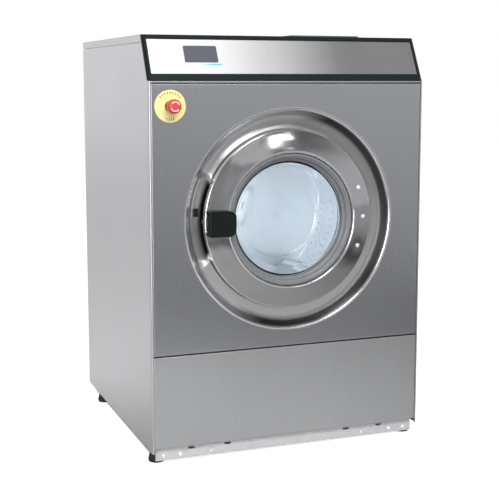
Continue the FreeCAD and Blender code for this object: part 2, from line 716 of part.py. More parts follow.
# Gasket that holds the glass in the funnel
glass_flange = sight_radius + 15.0
glass_front = sight_depth + 1.0
glass_rear = glass_front + glass_thickness
gasket_line = [(sight_radius, sight_depth, 0.6), (lip_radius - 7.0, -2.0, 2.0),
               (lip_radius - 0.4, -1.0, 1.0), (lip_radius - 0.4, 7.0), (lip_radius + 5.0, 12.0),
               (lip_radius + 5.0, glass_rear + 3.0), (sight_radius + 5.0, glass_rear + 3.0),
               (sight_radius + 5.0, glass_rear + seat), (glass_flange + seat, glass_rear + seat),
               (glass_flange + seat, glass_front - seat), (sight_radius, glass_front - seat)]
save("glass_gasket", turned(gasket_line))

# Glass bowl
bowl_back = glass_front + bowl_depth
bowl_line = [(glass_flange, glass_front), (sight_radius - 4.0, glass_front, 5.0),
             (sight_radius - 20.0, bowl_back - 42.0, 60.0), (sight_radius - 50.0, bowl_back - 8.0, 26.0),
             (0.0, bowl_back)]
bowl_rear = beside(bowl_line, -glass_thickness)
bowl_rear[-1] = (0.0, bowl_rear[-1][1])
save("door_glass", turned(bowl_line + list(reversed(bowl_rear))))

# Clamp ring behind the gasket, with its wall standing on the back of the cone
clamp_radius = screw_radius - 12.0
clamp_face = glass_rear + 3.0 + seat
clamp_line = [(sight_radius + 5.0, clamp_face), (clamp_radius, clamp_face, 3.0),
              (clamp_radius, cone_depth(clamp_radius) + sheet + 1.0)]
clamp_ring = turned(band(clamp_line, sheet))
save("door_clamp_ring", clamp_ring)

# Hinge: leaf with a middle knuckle behind the cone, cabinet bracket with two ears, pin, leaf screws
leaf_skin = sheet / math.cos(math.atan(cone_slope)) + seat
leaf_in = screw_radius - 4.5
leaf_out = hinge_x - knuckle - 0.5
leaf = turned([(leaf_in, cone_depth(leaf_in) + leaf_skin), (leaf_out, cone_depth(leaf_out) + leaf_skin),
               (leaf_out, cone_depth(leaf_out) + leaf_skin + 4.0),
               (leaf_in, cone_depth(leaf_in) + leaf_skin + 4.0)], 0.0, door_height, -28.0, 56.0)
arm_face = cone_depth(hinge_x) + leaf_skin + 0.6
arm = block(leaf_in + 10.0, hinge_x, arm_face, hinge_depth - 0.5, door_height - leaf_half,
            door_height + leaf_half)
barrel = rod_z(knuckle, door_height - leaf_half, door_height + leaf_half, hinge_x, hinge_depth)
pin_radius = 4.0
leaf = joined([leaf, arm, barrel])
leaf = leaf.cut(rod_z(pin_radius + 0.05, 0, cabinet_height, hinge_x, hinge_depth))
for angle in screw_angles:
    leaf = leaf.cut(on_cone(rod_y(3.2, -20, 30, 0, 0), angle))
save("hinge_leaf", leaf)
ears = []
bracket_back = throat_depth + 12.0
for sign in (-1, 1):
    z0 = door_height + min(sign * ear_low, sign * (ear_low + ear_length))
    z1 = z0 + ear_length
    ears.append(rod_z(knuckle, z0, z1, hinge_x, hinge_depth))
    ears.append(block(hinge_x - 5.0, hinge_x + 1.5, hinge_depth, bracket_back, z0, z1))
ears.append(block(hinge_x - 20.0, hinge_x + 34.0, bracket_back - 1.0, bracket_back + 5.0,
                  door_height - ear_low - ear_length - 18, door_height + ear_low + ear_length + 18))
bracket = joined(ears)


def floor_depth(radius):
    floor_fall = (throat_depth - dish_foot_depth) / (dish_foot_radius - throat_radius)
    return dish_foot_depth + (dish_foot_radius - radius) * floor_fall


pads = []
for sign in (-1, 1):
    for x in (hinge_x - 12.0, hinge_x + 26.0):
        z = door_height + sign * (ear_low + ear_length + 10.0)
        radius = math.hypot(x, z - door_height)
        pads.append(rod_y(6.0, floor_depth(radius - 6.0) + sheet + fit, bracket_back, x, z))
pin_half = ear_low + ear_length + 3.0
pin = rod_z(pin_radius, door_height - pin_half, door_height + pin_half, hinge_x, hinge_depth)
save("hinge_bracket", joined([bracket, pin] + pads))
screws = []
for angle in screw_angles:
    screw = turned([(0, -3.4), (3.0, -3.4), (6.0, -2.6, 1.5), (7.0, -seat), (3.0, -seat), (3.0, 12.0),
                    (0, 12.0)], 0, 0)
    screws.append(on_cone(screw, angle))
save("hinge_screws", Part.makeCompound(screws))

# Door handle: paddle turning on a pin at its left end, ears of a bracket in its back
pivot_y = 0.0
handle_half = handle_height / 2
handle_front = -handle_reach
paddle_line = [(pivot_x - pivot_radius, pivot_y + 2.0, 3.0), (pivot_x - pivot_radius, handle_front, 7.0),
               (-handle_end, handle_front, 4.0), (-handle_end, handle_front + 11.0, 4.0),
               (-bead_radius - 12.0, handle_front + 13.0, 12.0), (pivot_x + 9.0, pivot_y - 5.0, 4.0),
               (pivot_x + 4.5, pivot_y + pivot_radius - 1.0, 3.0),
               (pivot_x - 3.0, pivot_y + pivot_radius - 1.0, 3.0)]
handle = slab_z(paddle_line, door_height - handle_half, door_height + handle_half)
shape_y = slab_y(rectangle(pivot_x - pivot_radius - 5.0, -handle_end, door_height - handle_half,
                           door_height + handle_half, 22.0), handle_front - 5, 30)
shape_y = joined([shape_y,
                  block(pivot_x - pivot_radius - 5.0, -bead_radius - 14.0, handle_front - 5, 30,
                        door_height - handle_half, door_height + handle_half)])
left_soft = slab_y(rectangle(pivot_x - pivot_radius, -handle_end + 30.0, door_height - handle_half,
                             door_height + handle_half, 5.0), handle_front - 5, 30)
handle = handle.common(shape_y).common(left_soft)
for sign in (-1, 1):
    z = door_height + sign * ear_z
    cheek = block(pivot_x - pivot_radius - 1, pivot_x + 16.0, pivot_y - pivot_radius - 3.5, 20,
                  z - ear_thick / 2 - 0.5, z + ear_thick / 2 + 0.5)
    handle = handle.cut(cheek)
handle_pin = 2.5
handle = handle.cut(rod_z(handle_pin + 0.05, door_height - handle_half + 4.0,
                          door_height + handle_half - 4.0, pivot_x, pivot_y))
tongue_room = block(pivot_x - pivot_radius - 2, pivot_x + 20.0, pivot_y - 4.0, 20,
                    door_height - tongue_half - 0.1, door_height + tongue_half + 0.1)
handle = handle.cut(tongue_room)
save("door_handle", handle)
tongue_tip = throat_depth + 10.0
tongue_line = [(pivot_x - 5.0, pivot_y - 3.8, 2.0), (pivot_x + 12.0, pivot_y - 3.8, 2.0),
               (pivot_x + 5.0, pivot_y + 12.0, 6.0), (pivot_x + 4.0, tongue_tip, 3.0),
               (pivot_x - 3.0, tongue_tip, 2.0), (pivot_x - 5.0, tongue_tip - 8.0),
               (pivot_x - 3.0, tongue_tip - 12.0), (pivot_x - 3.0, pivot_y + 12.0)]
tongue = slab_z(tongue_line, door_height - tongue_half, door_height + tongue_half)
save("latch_tongue", tongue.cut(rod_z(handle_pin + 0.05, 0, cabinet_height, pivot_x, pivot_y)))
cheeks = []
plate_y = cone_depth(-pivot_x + 22.0) + 9.0
for sign in (-1, 1):
    z = door_height + sign * ear_z
    eye = rod_z(4.0, z - ear_thick / 2, z + ear_thick / 2, pivot_x, pivot_y)
    web = block(pivot_x - 2.0, pivot_x + 16.0, pivot_y - 1.0, plate_y + 6.0, z - ear_thick / 2,
                z + ear_thick / 2)
    cheeks.extend([eye, web])
back_plate = block(pivot_x + 6.0, pivot_x + 22.0, plate_y + 3.0, plate_y + 6.0,
                   door_height - ear_z - 14.0, door_height + ear_z + 14.0)
back_plate = back_plate.cut(block(pivot_x - 9.0, pivot_x + 20.0, 0, 60, door_height - tongue_half - 2.0,
                                  door_height + tongue_half + 2.0))
studs = []
for sign in (-1, 1):
    z = door_height + sign * (ear_z + 9.0)
    x = pivot_x + 14.0
    studs.append(rod_y(3.5, cone_depth(math.hypot(x, z - door_height)) + leaf_skin + 1.4, plate_y + 4.0,
                       x, z))
plate_bridge = block(pivot_x + 20.0, pivot_x + 26.0, plate_y + 3.0, plate_y + 6.0,
                     door_height - ear_z - 14.0, door_height + ear_z + 14.0)
pin_reach = handle_half - 4.5
pin = rod_z(handle_pin, door_height - pin_reach, door_height + pin_reach, pivot_x, pivot_y)
save("handle_bracket", joined(cheeks + [back_plate, plate_bridge, pin] + studs))

# Lock behind the dish: box with a slot for the tongue and a nose that shows in the pocket
lock_front = pocket_floor + sheet + 0.2
lock_back = tub_front - 16.0
lock_mid = tongue_tip + 6.0
lock_box = block(insert_x[0] - 14.0, slot_right + 0.6, lock_front, lock_mid, door_height - 46.0,
                 door_height + 52.0)
lock_motor = block(insert_x[0] - 14.0, slot_left + 1.0, lock_mid - 1.0, lock_back, door_height - 46.0,
                   door_height + 52.0)
lock_slot = block(slot_left + 1.0, slot_right + 9.0, lock_front - 1, tongue_tip + 3.0,
                  door_height - tongue_half - 4.0, door_height + tongue_half + 4.0)
nose = block(insert_x[0], insert_x[1], pocket_floor - 2.0, lock_front + 1.0, insert_z[0], insert_z[1])
save("door_lock", joined([lock_box.cut(lock_slot), lock_motor, nose]))

# Door seal: lip towards the door, sleeve in the throat, one outward fold, sleeve in the tub's mouth
collar_in = throat_radius - 5.0
sleeve = collar_in - 0.4
seal_thick = 4.0
lip_depth = clamp_face + sheet + fit + 0.2
tub_collar = collar_in + 1.0
fold_out = collar_in + 32.0
collar_end = throat_depth + throat_collar
tub_lip = tub_front - 12.0
seal_line = [(sleeve - 16.0, lip_depth), (sleeve - 4.4, lip_depth + 7.0, 3.0),
             (sleeve - 0.4, collar_end + 3.4, 3.0), (fold_out, collar_end + 4.4, 6.5),
             (fold_out, tub_lip - 7.0, 6.5), (sleeve, tub_lip - 6.0, 3.0),
             (sleeve - 0.4, tub_front + 2.0)]
save("door_seal", turned(band(seal_line, seal_thick)))

# Tub: shell with back wall, filler neck and drain stub; front ring with its collar
neck_z = hopper_low - 58.0
tub_cup = turned([(0, tub_front), (tub_radius, tub_front), (tub_radius, tub_back, 8.0), (0, tub_back)])
tub_core = turned([(0, tub_front - 9), (tub_radius - tub_wall, tub_front - 9),
                   (tub_radius - tub_wall, tub_back - 3.0, 7.0), (0, tub_back - 3.0)])
neck = rod_z(22.0, door_height + tub_radius * 0.8, neck_z, hopper_x, spout_y)
sump_y = tub_front + tub_length * 0.42
sump_x = drain_x + 190.0
stub_low = door_height - tub_radius - 16.0
stub = rod_z(28.0, stub_low, door_height - tub_radius * 0.8, sump_x, sump_y)
tub_shell = joined([tub_cup, neck, stub]).cut(tub_core)
tub_shell = tub_shell.cut(rod_z(19.0, door_height, neck_z + 9, hopper_x, spout_y))
tub_shell = tub_shell.cut(rod_z(25.0, stub_low - 9, door_height, sump_x, sump_y))
housing_spigot = 66.0
tub_shell = tub_shell.cut(rod_y(housing_spigot + seat, tub_back - 9, tub_back + 9))
heater_rows = (-70.0, 0.0, 70.0)
heater_half = 16.0
heater_radius = 5.0
heater_level = door_height - tub_radius + tub_wall + 19.0
for x in heater_rows:
    lift = (tub_radius - 19.0) - math.sqrt((tub_radius - 19.0) ** 2 - x * x)
    for sign in (-1, 1):
        tub_shell = tub_shell.cut(rod_y(heater_radius + 0.2, tub_back - 9, tub_back + 9,
                                        x + sign * heater_half, heater_level + lift + 2.0))
save("tub_shell", tub_shell)
front_ring = turned([(tub_collar, tub_lip), (tub_collar + 2.0, tub_lip),
                     (tub_collar + 2.0, tub_front - 2.0 - seat, 3.0),
                     (tub_radius + 6.0, tub_front - 2.0 - seat), (tub_radius + 6.0, tub_front + 8.0),
                     (tub_radius + seat, tub_front + 8.0), (tub_radius + seat, tub_front - seat),
                     (tub_collar, tub_front - seat)])
save("tub_front_ring", front_ring)

# Heating elements: three hairpins low in the tub, let in through the back wall
hairpins = []
for x in heater_rows:
    lift = (tub_radius - 19.0) - math.sqrt((tub_radius - 19.0) ** 2 - x * x)
    z = heater_level + lift + 2.0
    legs = [rod_y(heater_radius, tub_front + 120.0, tub_back + 24.0, x + sign * heater_half,
                  z) for sign in (-1, 1)]
    circle = Part.Face(Part.Wire(Part.makeCircle(heater_radius, V(x + heater_half, tub_front + 120.0, z),
                                                 V(0, 1, 0))))
    bend = circle.revolve(V(x, tub_front + 120.0, z), V(0, 0, 1), -180)
    hairpins.append(joined(legs + [bend]))
save("heating_elements", Part.makeCompound(hairpins))

# Cradle: two saddle plates under the tub with seats for springs and dampers, joined by two ties
seat_low = door_height - tub_radius
seat_thick = 6.0
saddles = []
for row in mount_rows:
    profile = [(-mount_x - 50, seat_low), (-damper_x + 33, seat_low), (68 - damper_x, seat_low - 24),
               (damper_x - 68, seat_low - 24), (damper_x - 33, seat_low), (mount_x + 50, seat_low),
               (mount_x + 50, seat_low + 50), (mount_x + 10, seat_low + 190),
               (-mount_x - 10, seat_low + 190), (-mount_x - 50, seat_low + 50)]
    plate = slab_y(profile, row - 3.0, row + 3.0)
    saddles.append(plate.cut(rod_y(tub_radius + seat, row - 9, row + 9)))
    for sign in (-1, 1):
        x0 = min(sign * (damper_x - 33), sign * (mount_x + 50))
        saddles.append(block(x0, x0 + mount_x - damper_x + 83, row - 45, row + 45, seat_low,
                             seat_low + seat_thick))
for sign in (-1, 1):
    x0 = min(sign * (mount_x + 20), sign * (mount_x + 50))
    saddles.append(block(x0, x0 + 30, mount_rows[0], mount_rows[1], seat_low, seat_low + seat_thick))
cradle = joined(saddles)
rod_top = seat_low + 14.0
for row in mount_rows:
    for sign in (-1, 1):
        cradle = cradle.cut(rod_z(rod_radius - 2.0 + seat, seat_low - 1, seat_low + seat_thick + 1,
                                  sign * damper_x, row - 18.0))

# Suspension springs, damper cylinders and damper rods between the cross rails and the cradle
springs = []
cylinders = []
rods = []
spring_low = cross_top + seat
spring_high = seat_low - seat
cyl_top = spring_low + 120.0
for row in mount_rows:
    for sign in (-1, 1):
        springs.append(tube_z(spring_radius, spring_radius - spring_wire, spring_low, spring_high,
                              sign * mount_x, row))
        x = sign * damper_x
        y = row - 18.0
        body = rod_z(damper_radius, spring_low, cyl_top, x, y)
        body = body.cut(rod_z(damper_radius - 3.0, spring_low + 5.0, cyl_top - 10.0, x, y))
        cylinders.append(body.cut(rod_z(rod_radius + 0.05, cyl_top - 20.0, cyl_top + 5.0, x, y)))
        piston = rod_z(damper_radius - 3.4, spring_low + 45.0, spring_low + 60.0, x, y)
        shaft = rod_z(rod_radius, spring_low + 50.0, seat_low - seat, x, y)
        neck_pin = rod_z(rod_radius - 2.0, seat_low - 5.0, rod_top, x, y)
        rods.append(joined([piston, shaft, neck_pin]))
save("suspension_springs", Part.makeCompound(springs))
save("damper_cylinders", Part.makeCompound(cylinders))
save("damper_rods", Part.makeCompound(rods))

# Bearing housing with ribs, two bearings and the shaft seal
front_race = 55.0
rear_race = 45.0
front_seat_y = tub_back + 28.0
front_seat_w = 27.0
rear_seat_w = 23.0
housing_back = pulley_front - 10.0
rear_seat_y = housing_back - 4.0 - rear_seat_w
hub = [(shaft_radius + 3.0, tub_back - 2.0), (housing_spigot, tub_back - 2.0),
       (housing_spigot, tub_back + seat), (150.0, tub_back + seat), (150.0, tub_back + 16.0, 3.0),
       (70.0, tub_back + 24.0, 6.0), (62.0, housing_back, 3.0), (32.0, housing_back),
       (32.0, rear_seat_y + rear_seat_w + 0.2), (rear_race + 0.05, rear_seat_y + rear_seat_w + 0.2),
       (rear_race + 0.05, rear_seat_y - 0.05), (36.0, rear_seat_y - 0.05),
       (36.0, front_seat_y + front_seat_w + 0.05),
       (front_race + 0.05, front_seat_y + front_seat_w + 0.05), (front_race + 0.05, front_seat_y - 0.05),
       (48.0, front_seat_y - 0.05), (48.0, tub_back + 8.0), (shaft_radius + 3.0, tub_back + 8.0)]
housing = turned(hub)
for step in range(6):
    rib = slab_x([(tub_back + 10.0, door_height + 58.0), (tub_back + 10.0, door_height + 142.0),
                  (housing_back - 8.0, door_height + 58.0)], -5.0, 5.0)
    rib.rotate(V(0, 0, door_height), V(0, 1, 0), 60.0 * step)
    housing = housing.fuse(rib)
save("bearing_housing", housing.removeSplitter())
front_bore = 25.0
rear_bore = 20.0
front_ball = turned([(front_bore, front_seat_y), (front_race, front_seat_y, 1.5),
                     (front_race, front_seat_y + front_seat_w, 1.5),
                     (front_bore, front_seat_y + front_seat_w)])
rear_ball = turned([(rear_bore, rear_seat_y), (rear_race, rear_seat_y, 1.5),
                    (rear_race, rear_seat_y + rear_seat_w, 1.5), (rear_bore, rear_seat_y + rear_seat_w)])
save("shaft_bearings", Part.makeCompound([front_ball, rear_ball]))
save("shaft_seal", ring_y(47.9, shaft_radius + 0.06, tub_back + 9.0, tub_back + 21.0))

# Drum: shell with rolled mouth and dished back, lifters, spider, shaft and pulley
inner_radius = drum_radius - drum_wall
drum_line = [(drum_mouth, drum_front - 6.0), (drum_mouth, drum_front + 2.0, 4.0),
             (drum_radius - 40.0, drum_front + 14.0, 20.0), (drum_radius, drum_front + 40.0, 14.0),
             (drum_radius, drum_back, 16.0), (80.0, drum_back, 8.0), (70.0, drum_back - 6.0),
             (0.0, drum_back - 6.0)]
back_line = beside(drum_line, drum_wall)
back_line[-1] = (0.0, back_line[-1][1])
drum_shell = turned(drum_line + list(reversed(back_line)))
hub_hole = 20.0
save("drum_shell", drum_shell.cut(rod_y(hub_hole, drum_back - 30, drum_back + 30)))
lifters = []
lifter_front = drum_front + 66.0
lifter_back = drum_back - 30.0
for step in range(3):
    base_r = inner_radius - seat
    half_w = lifter_width / 2
    drop = base_r - math.sqrt(base_r * base_r - half_w * half_w)
    foot = door_height - base_r
    profile = [(-half_w, foot - 10.0), (half_w, foot - 10.0), (half_w, foot + drop + 3.0, 8.0),
               (14.0, foot + lifter_height, 12.0), (-14.0, foot + lifter_height, 12.0),
               (-half_w, foot + drop + 3.0, 8.0)]
    lifter = slab_y(profile, lifter_front, lifter_back)
    ends = slab_x([(lifter_front, foot - 20.0), (lifter_back, foot - 20.0),
                   (lifter_back, foot + 25.0, 10.0),
                   (lifter_back - 40.0, foot + lifter_height + 1.0, 30.0),
                   (lifter_front + 40.0, foot + lifter_height + 1.0, 30.0),
                   (lifter_front, foot + 25.0, 10.0)], -half_w - 9, half_w + 9)
    lifter = lifter.common(ends).common(rod_y(base_r, lifter_front - 9, lifter_back + 9))
    lifter.rotate(V(0, 0, door_height), V(0, 1, 0), 120.0 * step + 82.0)
    lifters.append(lifter)
save("drum_lifters", Part.makeCompound(lifters))
spider_front = drum_back + seat
spider_back = tub_back - 3.0 - 5.0
spider_hub = 58.0
arms = [rod_y(spider_hub, spider_front, spider_back)]
for step in range(3):
    arm = slab_y([(-30.0, door_height + 30.0), (30.0, door_height + 30.0),
                  (18.0, door_height + drum_radius - 30.0, 8.0),
                  (-18.0, door_height + drum_radius - 30.0, 8.0)], spider_front, spider_front + 16.0)
    arm.rotate(V(0, 0, door_height), V(0, 1, 0), 120.0 * step + 22.0)
    arms.append(arm)
spider = joined(arms).cut(rod_y(shaft_radius + seat, spider_front + 4.0, spider_back + 9))
save("drum_spider", spider)
pulley_bore = 18.0
shaft_line = [(0, spider_front + 4.2), (shaft_radius, spider_front + 4.2),
              (shaft_radius, front_seat_y - 0.2), (front_bore - 0.05, front_seat_y - 0.2),
              (front_bore - 0.05, front_seat_y + front_seat_w + 3.0),
              (23.0, front_seat_y + front_seat_w + 3.0), (23.0, rear_seat_y - 0.2),
              (rear_bore - 0.05, rear_seat_y - 0.2), (rear_bore - 0.05, pulley_front),
              (pulley_bore, pulley_front), (pulley_bore, pulley_back + 8.0, 2.0), (0, pulley_back + 8.0)]
save("drum_shaft", turned(shaft_line))


# Grooved belt pulley rim: vees of one pitch across the width
def grooved(radius, inner):
    line = [(inner, pulley_front), (radius + 2.0, pulley_front), (radius + 2.0, pulley_front + 3.0)]
    groove_count = 6
    pitch = (pulley_width - 6.0) / groove_count
    for step in range(groove_count):
        y = pulley_front + 3.0 + step * pitch
        line.append((radius, y + 0.2))
        line.append((radius - 3.4, y + pitch / 2))
        line.append((radius, y + pitch - 0.2))
    line += [(radius + 2.0, pulley_back - 3.0), (radius + 2.0, pulley_back), (inner, pulley_back)]
    return line


rim = turned(grooved(pulley_radius, pulley_radius - 12.0))
web_mid = (pulley_front + pulley_back) / 2
web = ring_y(pulley_radius - 11.0, pulley_bore + 0.1, web_mid - 4.0, web_mid + 4.0)
for step in range(5):
    a = math.radians(72.0 * step + 90.0)
    reach = (pulley_radius + pulley_bore) / 2 + 6.0
    web = web.cut(rod_y(38.0, pulley_front - 9, pulley_back + 9, reach * math.cos(a),
                        door_height + reach * math.sin(a)))
hub_ring = ring_y(34.0, pulley_bore + 0.1, pulley_front + 0.3, pulley_back)
save("drum_pulley", joined([rim, web, hub_ring]))

# Motor on its bracket, motor pulley with shaft, flat-backed belt round both pulleys
bracket_front = mount_rows[1] + 3.0
bracket_deep = 9.0
motor_front = bracket_front + bracket_deep + seat
motor_back = motor_front + motor_length
fins = [(14.2, motor_front), (motor_radius - 8.0, motor_front, 4.0),
        (motor_radius - 8.0, motor_front + 18.0)]
fin_count = 9
fin_pitch = (motor_length - 44.0) / fin_count
for step in range(fin_count):
    y = motor_front + 18.0 + step * fin_pitch
    fins += [(motor_radius, y), (motor_radius, y + fin_pitch * 0.5),
             (motor_radius - 5.0, y + fin_pitch * 0.5), (motor_radius - 5.0, y + fin_pitch)]
fins += [(motor_radius - 8.0, motor_back - 26.0), (motor_radius - 8.0, motor_back, 6.0),
         (14.2, motor_back)]
motor = turned(fins, motor_x, motor_z)
terminal = slab_y(rectangle(motor_x + motor_radius - 18, motor_x + motor_radius + 26, motor_z - 26,
                            motor_z + 26, 4.0), motor_front + 40, motor_front + 110)
terminal = terminal.cut(rod_y(motor_radius - 6.0, motor_front, motor_back, motor_x, motor_z))
save("motor", joined([motor, terminal]))
plate_radius = motor_radius + 3.0
plate = rod_y(plate_radius, bracket_front, bracket_front + bracket_deep, motor_x, motor_z)
web_top = seat_low + 14.0
web = slab_y([(motor_x - plate_radius, motor_z), (motor_x + plate_radius, motor_z),
              (damper_x + 6.0, seat_low + 44.0, 6.0), (damper_x - 68.0, seat_low + 60.0),
              (damper_x - 60.0, web_top), (-60.0, web_top - 18.0, 6.0)], bracket_front,
             bracket_front + bracket_deep)
web = web.cut(rod_y(tub_radius + 3.0, bracket_front - 5, bracket_front + 20))
motor_plate = joined([plate, web]).cut(rod_y(18.0, bracket_front - 5, bracket_front + 20, motor_x,
                                             motor_z))
save("tub_cradle", joined([cradle, motor_plate]))
small = turned(grooved(motor_pulley_radius, 13.9), motor_x, motor_z)
spindle = rod_y(14.1, motor_front + 20.0, pulley_back + 4.0, motor_x, motor_z)
save("motor_pulley", joined([small, spindle]))
centre_distance = math.hypot(motor_x, motor_drop)
wrap = math.asin((pulley_radius - motor_pulley_radius) / centre_distance)
along = math.atan2(motor_z - door_height, motor_x)


def belt_loop(extra):
    big = pulley_radius + extra
    little = motor_pulley_radius + extra
    up = along + math.pi / 2 - wrap
    down = along - math.pi / 2 + wrap
    big_up = V(big * math.cos(up), 0, door_height + big * math.sin(up))
    big_down = V(big * math.cos(down), 0, door_height + big * math.sin(down))
    big_far = V(-big * math.cos(along), 0, door_height - big * math.sin(along))
    little_up = V(motor_x + little * math.cos(up), 0, motor_z + little * math.sin(up))
    little_down = V(motor_x + little * math.cos(down), 0, motor_z + little * math.sin(down))
    little_far = V(motor_x + little * math.cos(along), 0, motor_z + little * math.sin(along))
    edges = [Part.Arc(big_up, big_far, big_down).toShape(), Part.makeLine(big_down, little_down),
             Part.Arc(little_down, little_far, little_up).toShape(), Part.makeLine(little_up, big_up)]
    return Part.Face(Part.Wire(edges))


belt_face = belt_loop(fit + belt_thickness).cut(belt_loop(fit))
belt = belt_face.extrude(V(0, pulley_width - 6.6, 0))
belt.translate(V(0, pulley_front + 3.3, 0))
save("drive_belt", belt)

# Drain: hose from the stub, valve on its cross rail, outlet through the rear panel
valve_y = valve_row - 40.0
hose_out = 33.0
hose_in = 28.2
bend_radius = 70.0
turn_z = drain_z + bend_radius
drop = tube_z(hose_out, hose_in, turn_z, stub_low + 22.0, sump_x, sump_y)


def hose_bend(radius):
    disc = Part.Face(Part.Wire(Part.makeCircle(radius, V(sump_x, sump_y, turn_z), V(0, 0, 1))))
    return disc.revolve(V(sump_x, sump_y + bend_radius, turn_z), V(1, 0, 0), 90)


elbow = hose_bend(hose_out).cut(hose_bend(hose_in))
run = ring_y(hose_out, hose_in, sump_y + bend_radius, valve_y + 24.0, sump_x, drain_z)
save("drain_hose", joined([drop, elbow, run]))
valve_block = slab_y(rectangle(drain_x - 42, sump_x + 46, cross_top + seat, drain_z + 46.0, 10.0),
                     valve_y + 26.0, valve_y + 106.0)
valve_nose = rod_y(28.0, valve_y, valve_y + 30.0, sump_x, drain_z)
valve_out = rod_y(drain_radius, valve_y + 100.0, cabinet_depth + rear_reach, drain_x, drain_z)
actuator = rod_z(22.0, drain_z + 40.0, drain_z + 96.0, drain_x + 90.0, valve_y + 66.0)
outlet_nut = rod_y(drain_radius + 8.0, cabinet_depth - sheet + 0.2, cabinet_depth + 5.0, drain_x, drain_z)
valve = joined([valve_block, valve_nose, valve_out, outlet_nut, actuator])
valve = valve.cut(rod_y(22.0, valve_y + 92.0, cabinet_depth + rear_reach + 9, drain_x, drain_z))
valve = valve.cut(rod_y(25.0, valve_y - 9, valve_y + 60.0, sump_x, drain_z))
valve = valve.cut(rod_x(22.0, drain_x, sump_x, valve_y + 66.0, drain_z))
save("drain_valve", valve)

# Filling: two inlet valves on the rear panel, hoses to the hopper, hose from the hopper to the tub
nozzle_reach = 30.0
valves = []
hoses = []
hose_start = cabinet_depth - 90.0
for x in valve_places:
    body = slab_y(rectangle(x - 19, x + 19, valve_height - 19, valve_height + 19, 4.0),
                  hose_start + 16.0, rear_face - sheet - seat)
    nozzle = rod_y(inlet_radius, rear_face - sheet - 2.0, cabinet_depth + nozzle_reach, x, valve_height)
    coil = rod_z(15.0, valve_height + 15.0, valve_height + 52.0, x, hose_start + 45.0)
    tail = rod_y(port - 2.6, hose_start, hose_start + 20.0, x, valve_height)
    nut = rod_y(inlet_radius + 4.0, cabinet_depth - sheet + 0.2, cabinet_depth + 5.0, x, valve_height)
    part = joined([body, nozzle, nut, coil, tail])
    part = part.cut(rod_y(9.0, hose_start + 40.0, cabinet_depth + nozzle_reach + 9, x, valve_height))
    valves.append(part.cut(rod_y(3.5, hose_start - 9, hose_start + 50.0, x, valve_height)))
    hoses.append(ring_y(port - seat, port - 2.5, hopper_back - 10.0, hose_start + 15.0, x, valve_height))
save("water_inlets", Part.makeCompound(valves + hoses))
hose_line = [(22.2, neck_z - 16.0), (26.0, neck_z - 16.0)]
fold_count = 3
fold_pitch = (hopper_low - 2.0 - neck_z) / fold_count
for step in range(fold_count):
    z = neck_z + step * fold_pitch
    hose_line += [(26.0, z + 2.0), (32.0, z + fold_pitch / 2), (26.0, z + fold_pitch - 2.0)]
hose_line += [(26.0, hopper_low - 1.0), (22.2, hopper_low - 1.0)]
fill = outline(hose_line, lambda p: V(hopper_x + p[0], spout_y, p[1]))
fill = fill.revolve(V(hopper_x, spout_y, 0), V(0, 0, 1), 360)
save("fill_hose", fill)

# Inverter box on the rear panel and the cable gland in it
box_back = rear_face - sheet - seat
inverter = slab_y(rectangle(30.0 - half, 250.0 - half, console_foot - 4.0, top_seam - 14.0, 6.0),
                  box_back - 200.0, box_back)
inverter = inverter.cut(slab_y(rectangle(33.0 - half, 247.0 - half, console_foot - 1.0, top_seam - 17.0,
                                         4.0), box_back - 197.0, box_back - 3.0))
inverter = inverter.cut(rod_y(gland_radius + 0.4, box_back - 9, box_back + 9, gland_x, gland_z))
save("inverter_box", inverter)
gland = turned([(7.0, box_back - 16.0), (gland_radius, box_back - 16.0), (gland_radius, rear_face + 0.2),
                (18.0, rear_face + 0.2), (18.0, rear_face + 8.0, 1.0), (15.0, rear_face + 10.0),
                (14.0, rear_face + 26.0, 4.0), (7.0, rear_face + 26.0)], gland_x, gland_z)
save("cable_gland", gland)
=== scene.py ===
import math

import bmesh
import bpy
import numpy as np
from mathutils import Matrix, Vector


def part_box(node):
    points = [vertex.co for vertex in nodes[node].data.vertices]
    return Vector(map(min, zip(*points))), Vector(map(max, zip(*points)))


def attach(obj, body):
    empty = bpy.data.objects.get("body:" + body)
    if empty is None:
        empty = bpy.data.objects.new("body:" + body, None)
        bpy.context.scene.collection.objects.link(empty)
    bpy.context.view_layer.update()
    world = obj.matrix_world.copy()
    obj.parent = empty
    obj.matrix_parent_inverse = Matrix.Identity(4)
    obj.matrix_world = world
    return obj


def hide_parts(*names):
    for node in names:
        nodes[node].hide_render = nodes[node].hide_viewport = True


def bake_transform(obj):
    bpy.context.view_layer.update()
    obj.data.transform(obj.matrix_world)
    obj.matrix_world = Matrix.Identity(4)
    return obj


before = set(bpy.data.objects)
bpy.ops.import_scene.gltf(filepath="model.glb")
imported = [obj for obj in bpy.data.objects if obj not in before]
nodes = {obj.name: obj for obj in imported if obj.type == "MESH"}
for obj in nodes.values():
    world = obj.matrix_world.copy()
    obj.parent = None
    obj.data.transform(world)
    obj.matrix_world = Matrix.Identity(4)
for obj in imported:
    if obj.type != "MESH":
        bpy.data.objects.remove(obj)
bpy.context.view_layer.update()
scene = bpy.context.scene
print("frame:", len(nodes), "nodes")

# places that several pieces share, read from the frame
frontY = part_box("service_panel")[0].y
glassLow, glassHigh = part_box("door_glass")
doorZ = (glassLow.z + glassHigh.z) / 2
doorCentre = (0.0, frontY, doorZ)


